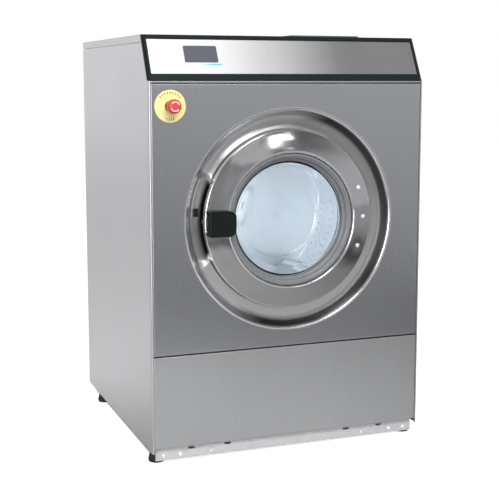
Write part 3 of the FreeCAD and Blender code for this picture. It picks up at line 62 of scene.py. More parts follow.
# camera at the photograph's viewing angle, its frame slid down a little
cameraSpot = dict(
    place=(-1.2369, -3.3359, 1.0957), yaw=20.78, pitch=7.534, focalPixels=1099.7, framePixels=500.0,
    slide=-0.05, sensor=36.0)
lens = bpy.data.cameras.new("photoView")
lens.sensor_width = cameraSpot["sensor"]
lens.lens = cameraSpot["focalPixels"] / cameraSpot["framePixels"] * cameraSpot["sensor"]
lens.shift_y = cameraSpot["slide"]
lens.clip_end = 100.0
camera = bpy.data.objects.new("photoView", lens)
camera.location = cameraSpot["place"]
camera.rotation_euler = (math.radians(90.0 - cameraSpot["pitch"]), 0.0, math.radians(-cameraSpot["yaw"]))
scene.collection.objects.link(camera)
scene.camera = camera
print("camera placed")


# node trees: small helpers
def addNode(tree, kind, **settings):
    node = tree.nodes.new(kind)
    for key, value in settings.items():
        setattr(node, key, value)
    return node


# inputs of a node, by label or by place in the row: each takes a number, a colour or vector, or a link
def feed(tree, node, values):
    for label, value in values.items():
        socket = node.inputs[label]
        if isinstance(value, (tuple, list)):
            socket.default_value = (*value, 1.0)[:len(socket.default_value)]
        elif isinstance(value, (int, float)):
            socket.default_value = value
        else:
            tree.links.new(value, socket)
    return node.outputs


def mathNode(tree, operation, *values):
    return feed(tree, addNode(tree, "ShaderNodeMath", operation=operation), dict(enumerate(values)))[0]


# sum of values, each times its share
def weighted(tree, values, shares):
    total = None
    for value, share in zip(values, shares):
        part = mathNode(tree, "MULTIPLY", value, share)
        total = part if total is None else mathNode(tree, "ADD", total, part)
    return total


def vectorNode(tree, operation, *values):
    return feed(tree, addNode(tree, "ShaderNodeVectorMath", operation=operation), dict(enumerate(values)))


def objectPlace(tree):
    return addNode(tree, "ShaderNodeTexCoord").outputs["Object"]


def splitAxes(tree, vector):
    return feed(tree, addNode(tree, "ShaderNodeSeparateXYZ"), {0: vector})


def splitColor(tree, colour):
    return feed(tree, addNode(tree, "ShaderNodeSeparateColor"), {0: colour})


def mixColor(tree, factor, first, second, blend="MIX"):
    node = addNode(tree, "ShaderNodeMix", data_type="RGBA", blend_type=blend)
    return feed(tree, node, {0: factor, 6: first, 7: second})[2]


def mixValue(tree, factor, first, second):
    return feed(tree, addNode(tree, "ShaderNodeMix", data_type="FLOAT"), {0: factor, 2: first, 3: second})[0]


def rangeNode(tree, value, low, high, toLow=0.0, toHigh=1.0, smooth=False):
    node = addNode(tree, "ShaderNodeMapRange", interpolation_type="SMOOTHSTEP" if smooth else "LINEAR")
    return feed(tree, node, dict(enumerate((value, low, high, toLow, toHigh))))[0]


# colour ramp through stops of (position, colour), which stand in order
def rampNode(tree, factor, stops):
    node = addNode(tree, "ShaderNodeValToRGB")
    marks = node.color_ramp.elements
    marks[0].position, marks[1].position = stops[0][0], stops[-1][0]
    marks[0].color, marks[1].color = (*stops[0][1], 1.0), (*stops[-1][1], 1.0)
    for position, colour in stops[1:-1]:
        marks.new(position).color = (*colour, 1.0)
    return feed(tree, node, {0: factor})[0]


def noiseNode(tree, vector, scale, detail, rough):
    values = {"Vector": vector, "Scale": scale, "Detail": detail, "Roughness": rough}
    return feed(tree, addNode(tree, "ShaderNodeTexNoise"), values)["Fac"]


def bumpNode(tree, height, strength, depth):
    values = dict(Strength=strength, Distance=depth, Height=height)
    return feed(tree, addNode(tree, "ShaderNodeBump"), values)[0]


# every finish group takes two tones, two roughnesses and a grain size, and gives colour, roughness and height
def startGroup(name, grain="Float"):
    tree = bpy.data.node_groups.new(name, "ShaderNodeTree")
    taken = dict(Light="Color", Dark="Color", Smooth="Float", Rough="Float", Grain=grain)
    made = dict(Color="Color", Roughness="Float", Height="Float")
    for way, sockets in (("INPUT", taken), ("OUTPUT", made)):
        for label, kind in sockets.items():
            tree.interface.new_socket(label, in_out=way, socket_type="NodeSocket" + kind)
    return tree, tree.nodes.new("NodeGroupInput").outputs, tree.nodes.new("NodeGroupOutput")


noiseSpan = (0.3, 0.7)  # most of a noise lies between these


def endGroup(tree, given, result, tone, gloss, height):
    colour = mixColor(tree, tone, given["Dark"], given["Light"])
    rough = rangeNode(tree, gloss, *noiseSpan, given["Smooth"], given["Rough"])
    feed(tree, result, dict(Color=colour, Roughness=rough, Height=height))
    return tree


# values of the groups: every noise by (scale, detail, roughness), less the scale where the grain size sets it,
# then the shares of the noises in the tone and in the gloss

# brushed sheet: noise drawn out along one axis, over slow clouds of handling and rolling
brushedGrain = dict(
    fine=(1.0, 4.0, 0.7), streak=(0.06, 2.0, 0.5), cloud=(2.6, 3.0, 0.55), tone=(0.35, 0.25, 0.4),
    gloss=(0.5, 0.5))


def makeBrushed(values):
    tree, given, result = startGroup("brushedGrain", "Vector")
    place = objectPlace(tree)
    drawn = vectorNode(tree, "MULTIPLY", place, given["Grain"])[0]
    fine = noiseNode(tree, drawn, *values["fine"])
    streak = noiseNode(tree, drawn, *values["streak"])
    cloud = noiseNode(tree, place, *values["cloud"])
    tone = rangeNode(tree, weighted(tree, (fine, streak, cloud), values["tone"]), *noiseSpan)
    return endGroup(tree, given, result, tone, weighted(tree, (fine, cloud), values["gloss"]), fine)


# turned or spun sheet: noise in rings about the door's line, drawn out round it
turnedGrain = dict(fine=(1.0, 4.0, 0.7), around=1.6, cloud=(7.0, 3.0, 0.6), tone=(0.45, 0.55), gloss=(0.4, 0.6))


def makeTurned(values):
    tree, given, result = startGroup("turnedGrain")
    place = objectPlace(tree)
    axes = splitAxes(tree, vectorNode(tree, "SUBTRACT", place, doorCentre)[0])
    squares = mathNode(tree, "ADD", *(mathNode(tree, "POWER", axes[axis], 2.0) for axis in "XZ"))
    steps = (mathNode(tree, "MULTIPLY", mathNode(tree, "SQRT", squares), given["Grain"]),
             mathNode(tree, "MULTIPLY", axes["Y"], given["Grain"]),
             mathNode(tree, "MULTIPLY", mathNode(tree, "ARCTAN2", axes["Z"], axes["X"]), values["around"]))
    rings = feed(tree, addNode(tree, "ShaderNodeCombineXYZ"), dict(enumerate(steps)))[0]
    layers = (noiseNode(tree, rings, *values["fine"]), noiseNode(tree, place, *values["cloud"]))
    tone = rangeNode(tree, weighted(tree, layers, values["tone"]), *noiseSpan)
    return endGroup(tree, given, result, tone, weighted(tree, layers, values["gloss"]), layers[0])


# hot dip zinc: crystal cells with their own tone, frosted by fine noise
zincSpangle = dict(frost=(420.0, 3.0, 0.6), tone=(0.6, 0.4))


def makeZinc(values):
    tree, given, result = startGroup("zincSpangle")
    place = objectPlace(tree)
    cells = feed(tree, addNode(tree, "ShaderNodeTexVoronoi"), dict(Vector=place, Scale=given["Grain"]))
    frost = noiseNode(tree, place, *values["frost"])
    tone = weighted(tree, (splitColor(tree, cells["Color"])[0], frost), values["tone"])
    return endGroup(tree, given, result, tone, tone, frost)


# moulded skin: fine eroded pattern of a plastic or rubber tool, with slow change of sheen
mouldedSkin = dict(fine=(2.0, 0.5), cloud=(14.0, 3.0, 0.6), tone=(0.4, 0.6))


def makeMoulded(values):
    tree, given, result = startGroup("mouldedSkin")
    place = objectPlace(tree)
    fine = noiseNode(tree, place, given["Grain"], *values["fine"])
    tone = weighted(tree, (fine, noiseNode(tree, place, *values["cloud"])), values["tone"])
    return endGroup(tree, given, result, tone, tone, fine)


# cast or enamelled coat: orange peel and specks
coatedSkin = dict(peel=(4.0, 0.65), cloud=(9.0, 3.0, 0.6), tone=(0.6, 0.4))


def makeCoated(values):
    tree, given, result = startGroup("coatedSkin")
    place = objectPlace(tree)
    peel = noiseNode(tree, place, given["Grain"], *values["peel"])
    cloud = noiseNode(tree, place, *values["cloud"])
    return endGroup(tree, given, result, weighted(tree, (peel, cloud), values["tone"]), cloud, peel)


finishGroups = dict(
    brushed=makeBrushed(brushedGrain), turned=makeTurned(turnedGrain), zinc=makeZinc(zincSpangle),
    moulded=makeMoulded(mouldedSkin), coated=makeCoated(coatedSkin))
print("finish groups:", len(finishGroups))


def placeGroup(tree, kind, finish):
    node = addNode(tree, "ShaderNodeGroup", node_tree=finishGroups[kind])
    labels = ("Light", "Dark", "Smooth", "Rough", "Grain")
    return feed(tree, node, {label: finish[label.lower()] for label in labels})


looks = {}


def startMaterial(name, metallic, ior=1.5):
    material = looks[name] = bpy.data.materials.new(name)
    material.use_nodes = True
    shader = material.node_tree.nodes["Principled BSDF"]
    feed(material.node_tree, shader, {"Metallic": metallic, "IOR": ior})
    return material.node_tree, shader


# plain finishes by kind, each as (light tone, dark tone, smoothest, roughest, metallic, grain size, bump),
# followed by what only a few have
finishes = dict(
    brushed=dict(
        sideSteel=((0.71, 0.71, 0.725), (0.66, 0.66, 0.675), 0.34, 0.46, 1.0, (1400.0, 1400.0, 6.0), 0.02),
        topSteel=((0.70, 0.69, 0.70), (0.63, 0.62, 0.63), 0.34, 0.46, 1.0, (900.0, 7.0, 900.0), 0.06),
        serviceSteel=((0.76, 0.77, 0.78), (0.69, 0.70, 0.71), 0.26, 0.38, 1.0, (1400.0, 1400.0, 5.0), 0.02),
        lifterSteel=((0.82, 0.84, 0.86), (0.76, 0.78, 0.80), 0.42, 0.56, 1.0, (700.0, 8.0, 700.0), 0.06),
        tubSteel=((0.62, 0.62, 0.62), (0.52, 0.52, 0.53), 0.30, 0.48, 1.0, (600.0, 8.0, 600.0), 0.08)),
    turned=dict(
        drumSteel=((0.86, 0.88, 0.90), (0.80, 0.82, 0.84), 0.42, 0.56, 1.0, 500.0, 0.05),
        shaftSteel=((0.66, 0.66, 0.66), (0.52, 0.52, 0.53), 0.18, 0.34, 1.0, 900.0, 0.08)),
    zinc=dict(
        zincSteel=((0.79, 0.795, 0.80), (0.68, 0.69, 0.71), 0.34, 0.52, 0.6, 110.0, 0.06),
        rearSteel=((0.74, 0.75, 0.76), (0.62, 0.63, 0.65), 0.36, 0.54, 0.9, 80.0, 0.06),
        bracketSteel=((0.70, 0.71, 0.72), (0.56, 0.57, 0.59), 0.28, 0.44, 1.0, 300.0, 0.08)),
    coated=dict(
        # screws: the near-white tone is partly the steel's own and partly a painted highlight on the domed
        # heads
        screwSteel=((0.95, 0.95, 0.94), (0.88, 0.88, 0.88), 0.14, 0.26, 0.45, 900.0, 0.03),
        springSteel=((0.16, 0.16, 0.17), (0.09, 0.09, 0.10), 0.28, 0.46, 0.4, 500.0, 0.08),
        heaterSteel=((0.36, 0.34, 0.33), (0.25, 0.24, 0.24), 0.30, 0.50, 0.9, 500.0, 0.08),
        castIron=((0.17, 0.18, 0.19), (0.11, 0.115, 0.12), 0.48, 0.66, 0.2, 300.0, 0.35, dict(depth=0.0006)),
        castAluminium=((0.66, 0.67, 0.68), (0.54, 0.55, 0.56), 0.40, 0.58, 0.9, 360.0, 0.3, dict(depth=0.0005)),
        motorPaint=((0.10, 0.13, 0.17), (0.07, 0.09, 0.12), 0.34, 0.50, 0.0, 300.0, 0.2, dict(depth=0.0004))),
    moulded=dict(
        framePlastic=((0.012, 0.017, 0.019), (0.008, 0.011, 0.013), 0.32, 0.44, 0.0, 1100.0, 0.12,
            dict(ior=1.25)),
        handlePlastic=((0.007, 0.010, 0.010), (0.004, 0.006, 0.006), 0.22, 0.32, 0.0, 1200.0, 0.08,
            dict(ior=1.30)),
        lidPlastic=((0.075, 0.085, 0.090), (0.055, 0.062, 0.066), 0.36, 0.50, 0.0, 1000.0, 0.12),
        greyPlastic=((0.42, 0.43, 0.44), (0.36, 0.37, 0.38), 0.36, 0.50, 0.0, 900.0, 0.12),
        boxPlastic=((0.060, 0.062, 0.064), (0.040, 0.042, 0.044), 0.40, 0.55, 0.0, 800.0, 0.15),
        footRubber=((0.022, 0.022, 0.023), (0.012, 0.012, 0.013), 0.50, 0.68, 0.0, 700.0, 0.25,
            dict(depth=0.0003)),
        sealRubber=((0.40, 0.41, 0.42), (0.33, 0.34, 0.35), 0.44, 0.60, 0.0, 600.0, 0.15),
        gasketRubber=((0.19, 0.194, 0.203), (0.15, 0.153, 0.160), 0.22, 0.34, 0.0, 600.0, 0.02),
        hoseRubber=((0.032, 0.032, 0.034), (0.020, 0.020, 0.022), 0.46, 0.62, 0.0, 600.0, 0.2),
        stopYellow=((0.80, 0.72, 0.32), (0.76, 0.66, 0.26), 0.30, 0.40, 0.0, 1200.0, 0.04, dict(coat=0.3)),
        stopRed=((0.62, 0.060, 0.056), (0.54, 0.042, 0.040), 0.20, 0.30, 0.0, 1200.0, 0.04, dict(coat=0.4)),
        arrowWhite=((0.93, 0.62, 0.60), (0.88, 0.55, 0.54), 0.30, 0.40, 0.0, 1500.0, 0.03),
        markDark=((0.10, 0.085, 0.04), (0.07, 0.06, 0.03), 0.40, 0.55, 0.0, 1500.0, 0.03),
        iconGrey=((0.30, 0.30, 0.29), (0.25, 0.25, 0.24), 0.40, 0.52, 0.0, 1500.0, 0.03),
        displayDark=((0.090, 0.094, 0.112), (0.082, 0.086, 0.104), 0.16, 0.24, 0.0, 300.0, 0.01,
            dict(coat=0.2))))
columns = ("light", "dark", "smooth", "rough", "metallic", "grain", "bump")
common = dict(ior=1.5, coat=0.0, coatRough=0.1, depth=0.0002)
for kind, rows in finishes.items():
    for name, row in rows.items():
        finish = common | dict(zip(columns, row))
        finish.update(*row[len(columns):])
        tree, shader = startMaterial(name, finish["metallic"], finish["ior"])
        made = placeGroup(tree, kind, finish)
        feed(tree, shader, {
            "Coat Weight": finish["coat"], "Coat Roughness": finish["coatRough"], "Base Color": made["Color"],
            "Roughness": made["Roughness"],
            "Normal": bumpNode(tree, made["Height"], finish["bump"], finish["depth"])})
print("plain finishes:", len(looks))


# distance from the door's line, for the turned pieces
def doorRadius(tree):
    place = objectPlace(tree)
    offset = vectorNode(tree, "SUBTRACT", place, doorCentre)[0]
    flatten = vectorNode(tree, "MULTIPLY", offset, (1.0, 0.0, 1.0))[0]
    return place, vectorNode(tree, "LENGTH", flatten)["Value"]


# front sheet: upright brushing on the flat, spun polish in the dish, painted shade in the depth of the finger
# pocket, darkest next to the door's rim, and a painted lit tone up the dish's left side; zones of the dish from
# its satin floor over the polished wall to the bright lip, each as (radius, share of the tone, share of the
# roughness), where the tone shares paint shade on the wall and a highlight on the lip
frontFinish = dict(
    flat=dict(light=(0.533, 0.545, 0.569), dark=(0.509, 0.520, 0.544), smooth=0.26, rough=0.31,
        grain=(1400.0, 1400.0, 5.0)),
    dish=dict(light=(1.0, 1.01, 1.02), dark=(0.88, 0.89, 0.90), smooth=0.24, rough=0.34, grain=700.0),
    zones=((0.245, 0.68, 1.0), (0.287, 0.66, 1.2), (0.297, 0.34, 1.9), (0.304, 0.11, 1.6), (0.3135, 0.09, 1.0),
        (0.3160, 0.40, 0.8), (0.3180, 0.98, 0.7), (0.330, 0.98, 0.7)),
    lip=0.3255, lipFade=0.0015, side=(0.06, -0.10), sideLean=0.35, litSideTone=0.72, deep=(0.0385, 0.0445),
    shadeFrom=(0.2595, 0.03), shadeTo=(0.284, 0.52), bump=0.012)
tree, shader = startMaterial("frontSteel", 1.0)
flat = placeGroup(tree, "brushed", frontFinish["flat"])
dish = placeGroup(tree, "turned", frontFinish["dish"])
place, reach = doorRadius(tree)
inner, outer = frontFinish["zones"][0][0], frontFinish["zones"][-1][0]
# tone by radius: painted shade on the dish's wall and a painted highlight on its lip
zoneStops = [
    ((radius - inner) / (outer - inner), (tone, rough, 0.0)) for radius, tone, rough in frontFinish["zones"]]
shadeAndHighlightZone, roughZone, _ = splitColor(
    tree, rampNode(tree, rangeNode(tree, reach, inner, outer), zoneStops))
axes = splitAxes(tree, place)
deepFrom, deepTo = (frontY + depth for depth in frontFinish["deep"])
deep = rangeNode(tree, axes["Y"], deepFrom, deepTo, smooth=True)
inPocket = mathNode(tree, "MULTIPLY", deep, mathNode(tree, "GREATER_THAN", reach, inner))
# painted light: the dish's left side, whose wall faces the light, is given a lighter tone
lean = mathNode(tree, "MULTIPLY", mathNode(tree, "SUBTRACT", axes["Z"], doorZ), frontFinish["sideLean"])
onLitSide = rangeNode(tree, mathNode(tree, "SUBTRACT", axes["X"], lean), *frontFinish["side"], smooth=True)
# painted shade in the finger pocket: black next to the door's rim, where the door shades it, lighter further
# out
(nearEdge, darkTone), (farEdge, floorTone) = frontFinish["shadeFrom"], frontFinish["shadeTo"]
shaded = rangeNode(tree, reach, nearEdge, farEdge, darkTone, floorTone, True)
litSideTone = mathNode(tree, "MULTIPLY", onLitSide, frontFinish["litSideTone"])
toneShare = mixValue(tree, inPocket, mathNode(tree, "MAXIMUM", shadeAndHighlightZone, litSideTone), shaded)
toned = mixColor(tree, toneShare, (0.0, 0.0, 0.0), dish["Color"])
dishRough = mathNode(tree, "MULTIPLY", dish["Roughness"], roughZone)
lip, fade = frontFinish["lip"], frontFinish["lipFade"]
inDish = rangeNode(tree, reach, lip - fade, lip + fade, 1.0, 0.0)
height = mixValue(tree, inDish, flat["Height"], dish["Height"])
feed(tree, shader, {
    "Base Color": mixColor(tree, inDish, flat["Color"], toned),
    "Roughness": mixValue(tree, inDish, flat["Roughness"], dishRough),
    "Normal": bumpNode(tree, height, frontFinish["bump"], common["depth"])})

# door ring: spun polish, with a painted highlight along the bead and the rim
ringFinish = dict(
    light=(0.53, 0.535, 0.545), dark=(0.46, 0.465, 0.475), smooth=0.08, rough=0.16, grain=900.0, bump=0.01,
    rimHighlight=(0.96, 0.965, 0.97), bead=(0.1995, 0.2015), rim=(0.2575, 0.2592))
tree, shader = startMaterial("doorSteel", 1.0)
polish = placeGroup(tree, "turned", ringFinish)
place, reach = doorRadius(tree)
# painted highlight: the bead and the rim are tinted near white
onBead = rangeNode(tree, reach, *ringFinish["bead"], 1.0, 0.0, True)
onRim = rangeNode(tree, reach, *ringFinish["rim"], smooth=True)
rimHighlight = mixColor(tree, mathNode(tree, "MAXIMUM", onBead, onRim), polish["Color"], ringFinish["rimHighlight"])
feed(tree, shader, {
    "Base Color": rimHighlight, "Roughness": polish["Roughness"],
    "Normal": bumpNode(tree, polish["Height"], ringFinish["bump"], common["depth"])})

# printed film on the control panel: white at the left, running into brushed silver at the right
filmFinish = dict(
    reach=0.412,
    stops=((0.0, 0.66), (0.24, 0.60), (0.33, 0.525), (0.38, 0.48), (0.45, 0.44), (0.53, 0.393), (0.63, 0.303),
        (0.69, 0.240), (0.78, 0.242), (0.88, 0.262), (1.0, 0.265)),
    tint=(1.0, 0.995, 1.01), silver=0.55, silverFrom=0.25, silverTo=0.75, bump=0.03,
    brush=dict(light=(1.0, 1.0, 1.0), dark=(0.90, 0.90, 0.91), smooth=0.30, rough=0.42,
        grain=(8.0, 900.0, 900.0)))
tree, shader = startMaterial("fasciaFilm", 0.0)
across = rangeNode(tree, splitAxes(tree, objectPlace(tree))["X"], -filmFinish["reach"], filmFinish["reach"])
filmStops = [(stop, [tone * part for part in filmFinish["tint"]]) for stop, tone in filmFinish["stops"]]
brush = placeGroup(tree, "brushed", filmFinish["brush"])
feed(tree, shader, {
    "Base Color": mixColor(tree, 1.0, rampNode(tree, across, filmStops), brush["Color"], "MULTIPLY"),
    "Metallic": rangeNode(
        tree, across, filmFinish["silverFrom"], filmFinish["silverTo"], 0.0, filmFinish["silver"]),
    "Roughness": brush["Roughness"],
    "Normal": bumpNode(tree, brush["Height"], filmFinish["bump"], common["depth"])})

# thin printed line under the display, grey running into blue-green
lineFinish = dict(
    left=-0.317, right=-0.201, greyFor=0.03, tintFor=0.02, grey=(0.62, 0.63, 0.64), tint=(0.02, 0.44, 0.52),
    rough=0.4)
tree, shader = startMaterial("lineInk", 0.0)
greyEnd, tintStart = lineFinish["left"] + lineFinish["greyFor"], lineFinish["right"] - lineFinish["tintFor"]
shade = rangeNode(tree, splitAxes(tree, objectPlace(tree))["X"], greyEnd, tintStart, smooth=True)
inked = mixColor(tree, shade, lineFinish["grey"], lineFinish["tint"])
feed(tree, shader, {"Base Color": inked, "Roughness": lineFinish["rough"]})

# door glass: clear, faintly blue, with the faint film of wiping
glassFinish = dict(
    tint=(0.93, 0.97, 1.0), ior=1.47, smooth=0.0, rough=0.05, wipe=(9.0, 4.0, 0.6), wiped=(0.35, 0.75))
tree, shader = startMaterial("doorGlass", 0.0, glassFinish["ior"])
film = noiseNode(tree, objectPlace(tree), *glassFinish["wipe"])
dulled = rangeNode(tree, film, *glassFinish["wiped"], glassFinish["smooth"], glassFinish["rough"])
feed(tree, shader, {"Base Color": glassFinish["tint"], "Transmission Weight": 1.0, "Roughness": dulled})
print("special finishes ready:", len(looks))


# nodes that each finish goes on
finishOn = dict(
    zincSteel="base_frame", footRubber="foot_front_left foot_front_right foot_rear_left foot_rear_right",
    sideSteel="side_panel_left side_panel_right", rearSteel="rear_panel rear_cover tub_cradle",
    topSteel="top_cover", serviceSteel="front_crossbar service_panel", frontSteel="front_panel",
    framePlastic="console_frame door_lock", fasciaFilm="console_fascia", displayDark="display_window",
    greyPlastic="control_board stop_contact_block soap_hopper water_inlets stop_stem", stopYellow="stop_disc",
    handlePlastic="stop_collar door_handle",
    bracketSteel="hinge_bracket inverter_box hinge_leaf handle_bracket latch_tongue", sealRubber="door_seal",
    springSteel="suspension_springs", motorPaint="damper_cylinders motor", boxPlastic="drain_valve cable_gland",
    hoseRubber="drain_hose fill_hose shaft_seal drive_belt", doorSteel="door_ring", gasketRubber="glass_gasket",
    doorGlass="door_glass", drumSteel="door_clamp_ring drum_shell", screwSteel="hinge_screws shaft_bearings",
    tubSteel="tub_shell tub_front_ring", castIron="bearing_housing", heaterSteel="heating_elements",
    shaftSteel="damper_rods drum_shaft motor_pulley", lifterSteel="drum_lifters",
    castAluminium="drum_spider drum_pulley", lidPlastic="soap_lid", stopRed="stop_head")
for look, names in finishOn.items():
    for name in names.split():
        slots = nodes[name].data.materials
        slots.clear()
        slots.append(looks[look])
print("nodes finished:", sum(len(names.split()) for names in finishOn.values()), "of", len(nodes))


# faces between the points of a grid, closed along either way if asked
def gridFaces(rows, columns, wrapRows=False, wrapColumns=False):
    i, j = np.meshgrid(
        np.arange(rows if wrapRows else rows - 1), np.arange(columns if wrapColumns else columns - 1),
        indexing="ij")
    up, right = (i + 1) % rows, (j + 1) % columns
    corners = [i * columns + j, up * columns + j, up * columns + right, i * columns + right]
    return np.stack(corners, -1).reshape(-1, 4).tolist()


# one mesh from several (points, faces) parts; doubles merge, so poles and seams close
def makePiece(name, parts, look, body=None, sharp=35.0, inwards=None):
    points, faces, count = [], [], 0
    for partPoints, partFaces in parts:
        partPoints = np.asarray(partPoints, float).reshape(-1, 3)
        points.append(partPoints)
        faces += [[v + count for v in face] for face in partFaces]
        count += len(partPoints)
    mesh = bpy.data.meshes.new(name)
    mesh.from_pydata(np.concatenate(points).tolist(), [], faces)
    work = bmesh.new()
    work.from_mesh(mesh)
    bmesh.ops.remove_doubles(work, verts=work.verts, dist=2e-6)
    bmesh.ops.recalc_face_normals(work, faces=work.faces)
    if inwards is not None:  # an open shell that shows its inside
        facing = sum((Vector(inwards) - f.calc_center_median()).dot(f.normal) for f in work.faces)
        if facing < 0.0:
            bmesh.ops.reverse_faces(work, faces=work.faces)
    work.to_mesh(mesh)
    work.free()
    mesh.polygons.foreach_set("use_smooth", np.ones(len(mesh.polygons), bool))
    mesh.set_sharp_from_angle(angle=math.radians(sharp))
    mesh.materials.append(looks[look])
    piece = bpy.data.objects.new(name, mesh)
    scene.collection.objects.link(piece)
    if body:
        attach(piece, body)
    return piece


# line with its corners rounded off: each pass cuts every corner at a quarter and three quarters (Chaikin)
def softLine(corners, passes=3):
    line = np.asarray(corners, float)
    for _ in range(passes):
        near, far = 0.75 * line[:-1] + 0.25 * line[1:], 0.25 * line[:-1] + 0.75 * line[1:]
        cut = np.stack([near, far], 1).reshape(-1, line.shape[1])
        line = np.concatenate([line[:1], cut, line[-1:]])
    return line


# closed outline of a wall: the line moved half the thickness to each side, along its own normals
def wallOutline(line, thickness):
    run = np.gradient(line, axis=0)
    side = np.stack([-run[:, 1], run[:, 0]], -1) / np.linalg.norm(run, axis=1)[:, None] * thickness / 2
    return np.concatenate([line + side, (line - side)[::-1]])


# line through corners (a, b, radius): each corner with a radius becomes an arc, long runs are cut to the step
def pressedLine(corners, step, arcs=8):
    spots = [np.array(corner[:2], float) for corner in corners]
    line = [spots[0]]
    for before, here, after, corner in zip(spots, spots[1:], spots[2:], corners[1:]):
        if len(corner) < 3:
            line.append(here)
            continue
        toBefore = (before - here) / np.linalg.norm(before - here)
        toAfter = (after - here) / np.linalg.norm(after - here)
        half = math.acos(float(toBefore @ toAfter)) / 2
        middle = here + (toBefore + toAfter) / np.linalg.norm(toBefore + toAfter) * corner[2] / math.sin(half)
        first = here + toBefore * corner[2] / math.tan(half) - middle
        last = here + toAfter * corner[2] / math.tan(half) - middle
        sweep = math.pi - 2 * half
        t = np.linspace(0.0, 1.0, arcs + 1)[:, None]
        line += list(middle + (np.sin((1 - t) * sweep) * first + np.sin(t * sweep) * last) / math.sin(sweep))
    line.append(spots[-1])
    cut = [line[0]]
    for first, last in zip(line, line[1:]):
        parts = max(1, math.ceil(np.linalg.norm(last - first) / step))
        cut += [first + (last - first) * part / parts for part in range(1, parts + 1)]
    return np.array(cut)


# smaller of two surfaces, rounded over a width where they meet (polynomial smooth minimum)
def softLower(first, second, width):
    share = np.clip(0.5 + 0.5 * (second - first) / width, 0.0, 1.0)
    return second + (first - second) * share - width * share * (1 - share)


def softHigher(first, second, width):
    return -softLower(-first, -second, width)


# profile of (radius, height) turned about an axis through a point: x, y, z = radius cos, height, radius sin
def spun(profile, centre, axis="y", steps=128, closed=True):
    profile = np.asarray(profile, float)
    turn = np.linspace(0.0, 2 * np.pi, steps, endpoint=False)
    radius, height = profile[:, :1], profile[:, 1:]
    u, v, w = radius * np.cos(turn), radius * np.sin(turn), height + 0 * turn
    order = (u, w, v) if axis == "y" else (u, v, w)
    return np.stack(order, -1) + np.asarray(centre), gridFaces(len(profile), steps, closed, True)


# tube round a path: centre + radius (cos phi * side + sin phi * other), side and other square to the path
def tubeRound(path, radius, side, sides=16):
    run = np.gradient(path, axis=0)
    run /= np.linalg.norm(run, axis=1)[:, None]
    side = side - run * np.sum(side * run, axis=1)[:, None]
    side /= np.linalg.norm(side, axis=1)[:, None]
    other = np.cross(run, side)
    phi = np.linspace(0.0, 2 * np.pi, sides, endpoint=False)[None, :, None]
    ring = np.cos(phi) * side[:, None] + np.sin(phi) * other[:, None]
    return path[:, None] + np.asarray(radius)[:, None, None] * ring, gridFaces(len(path), sides, False, True)


# flat marks raised from a surface: outlines (count, corners, 2) lifted between two levels by a placing function
def plates(outlines, place, low, high):
    outlines = np.asarray(outlines, float)
    count, corners = outlines.shape[:2]
    levels = np.stack([place(outlines[..., 0], outlines[..., 1], level) for level in (low, high)], 1)
    base = (np.arange(count) * 2 * corners)[:, None]
    i = np.arange(corners)
    up = (i + 1) % corners
    walls = np.stack([base + i, base + up, base + corners + up, base + corners + i], -1).reshape(-1, 4).tolist()
    caps = (base + corners + i).tolist() + (base + i[::-1]).tolist()
    return levels.reshape(-1, 3), walls + caps


# rounded bar of a length and width at a place, turned by an angle: two half circles joined
def pill(x, y, length, width, angle=0.0, steps=8):
    t = np.linspace(-np.pi / 2, np.pi / 2, steps)
    run = (length - width) / 2
    end = np.stack([run + width / 2 * np.cos(t), width / 2 * np.sin(t)], -1)
    shape = np.concatenate([end, -end])
    c, s = math.cos(angle), math.sin(angle)
    return shape @ np.array([[c, s], [-s, c]]) + (x, y)


# thickness of a sheet, laid on behind the face that shows
def thicken(piece, thickness):
    wall = piece.modifiers.new("wall", "SOLIDIFY")
    wall.thickness = thickness
    wall.offset = -1.0


# pressed sheet from rings of points about the door's line, less the faces that a test on their middles cuts out
def makeSheet(name, points, isCut, look, thickness):
    faces = np.array(gridFaces(*points.shape[:2], False, True))
    middles = points.reshape(-1, 3)[faces].mean(1) - doorCentre
    kept = faces[~isCut(*middles.T)].tolist()
    piece = makePiece(name, [(points, kept)], look, inwards=(0.0, -9.0, doorZ), sharp=50.0)
    thicken(piece, thickness)
    return piece


# drum: perforated wall between a coned front with a rolled mouth and a dished back, seen from inside
drumSheet = dict(
    radius=0.3285, wall=0.0015, holesRound=84, rows=14, holeRadius=0.0026, holeShares=(1.7, 1.0, 0.92),
    press=0.0016, pressShares=(0.0, 0.0, 0.35, 1.0), front=0.168, back=0.520, shoulder=0.150, backEdge=0.5335,
    passes=2,
    mouth=((0.202, 0.113), (0.200, 0.108), (0.210, 0.107), (0.212, 0.114), (0.222, 0.120), (0.285, 0.128),
        (0.312, 0.136)),
    dish=((0.300, 0.5335), (0.180, 0.5315), (0.090, 0.5335), (0.076, 0.5275), (0.021, 0.5275)))


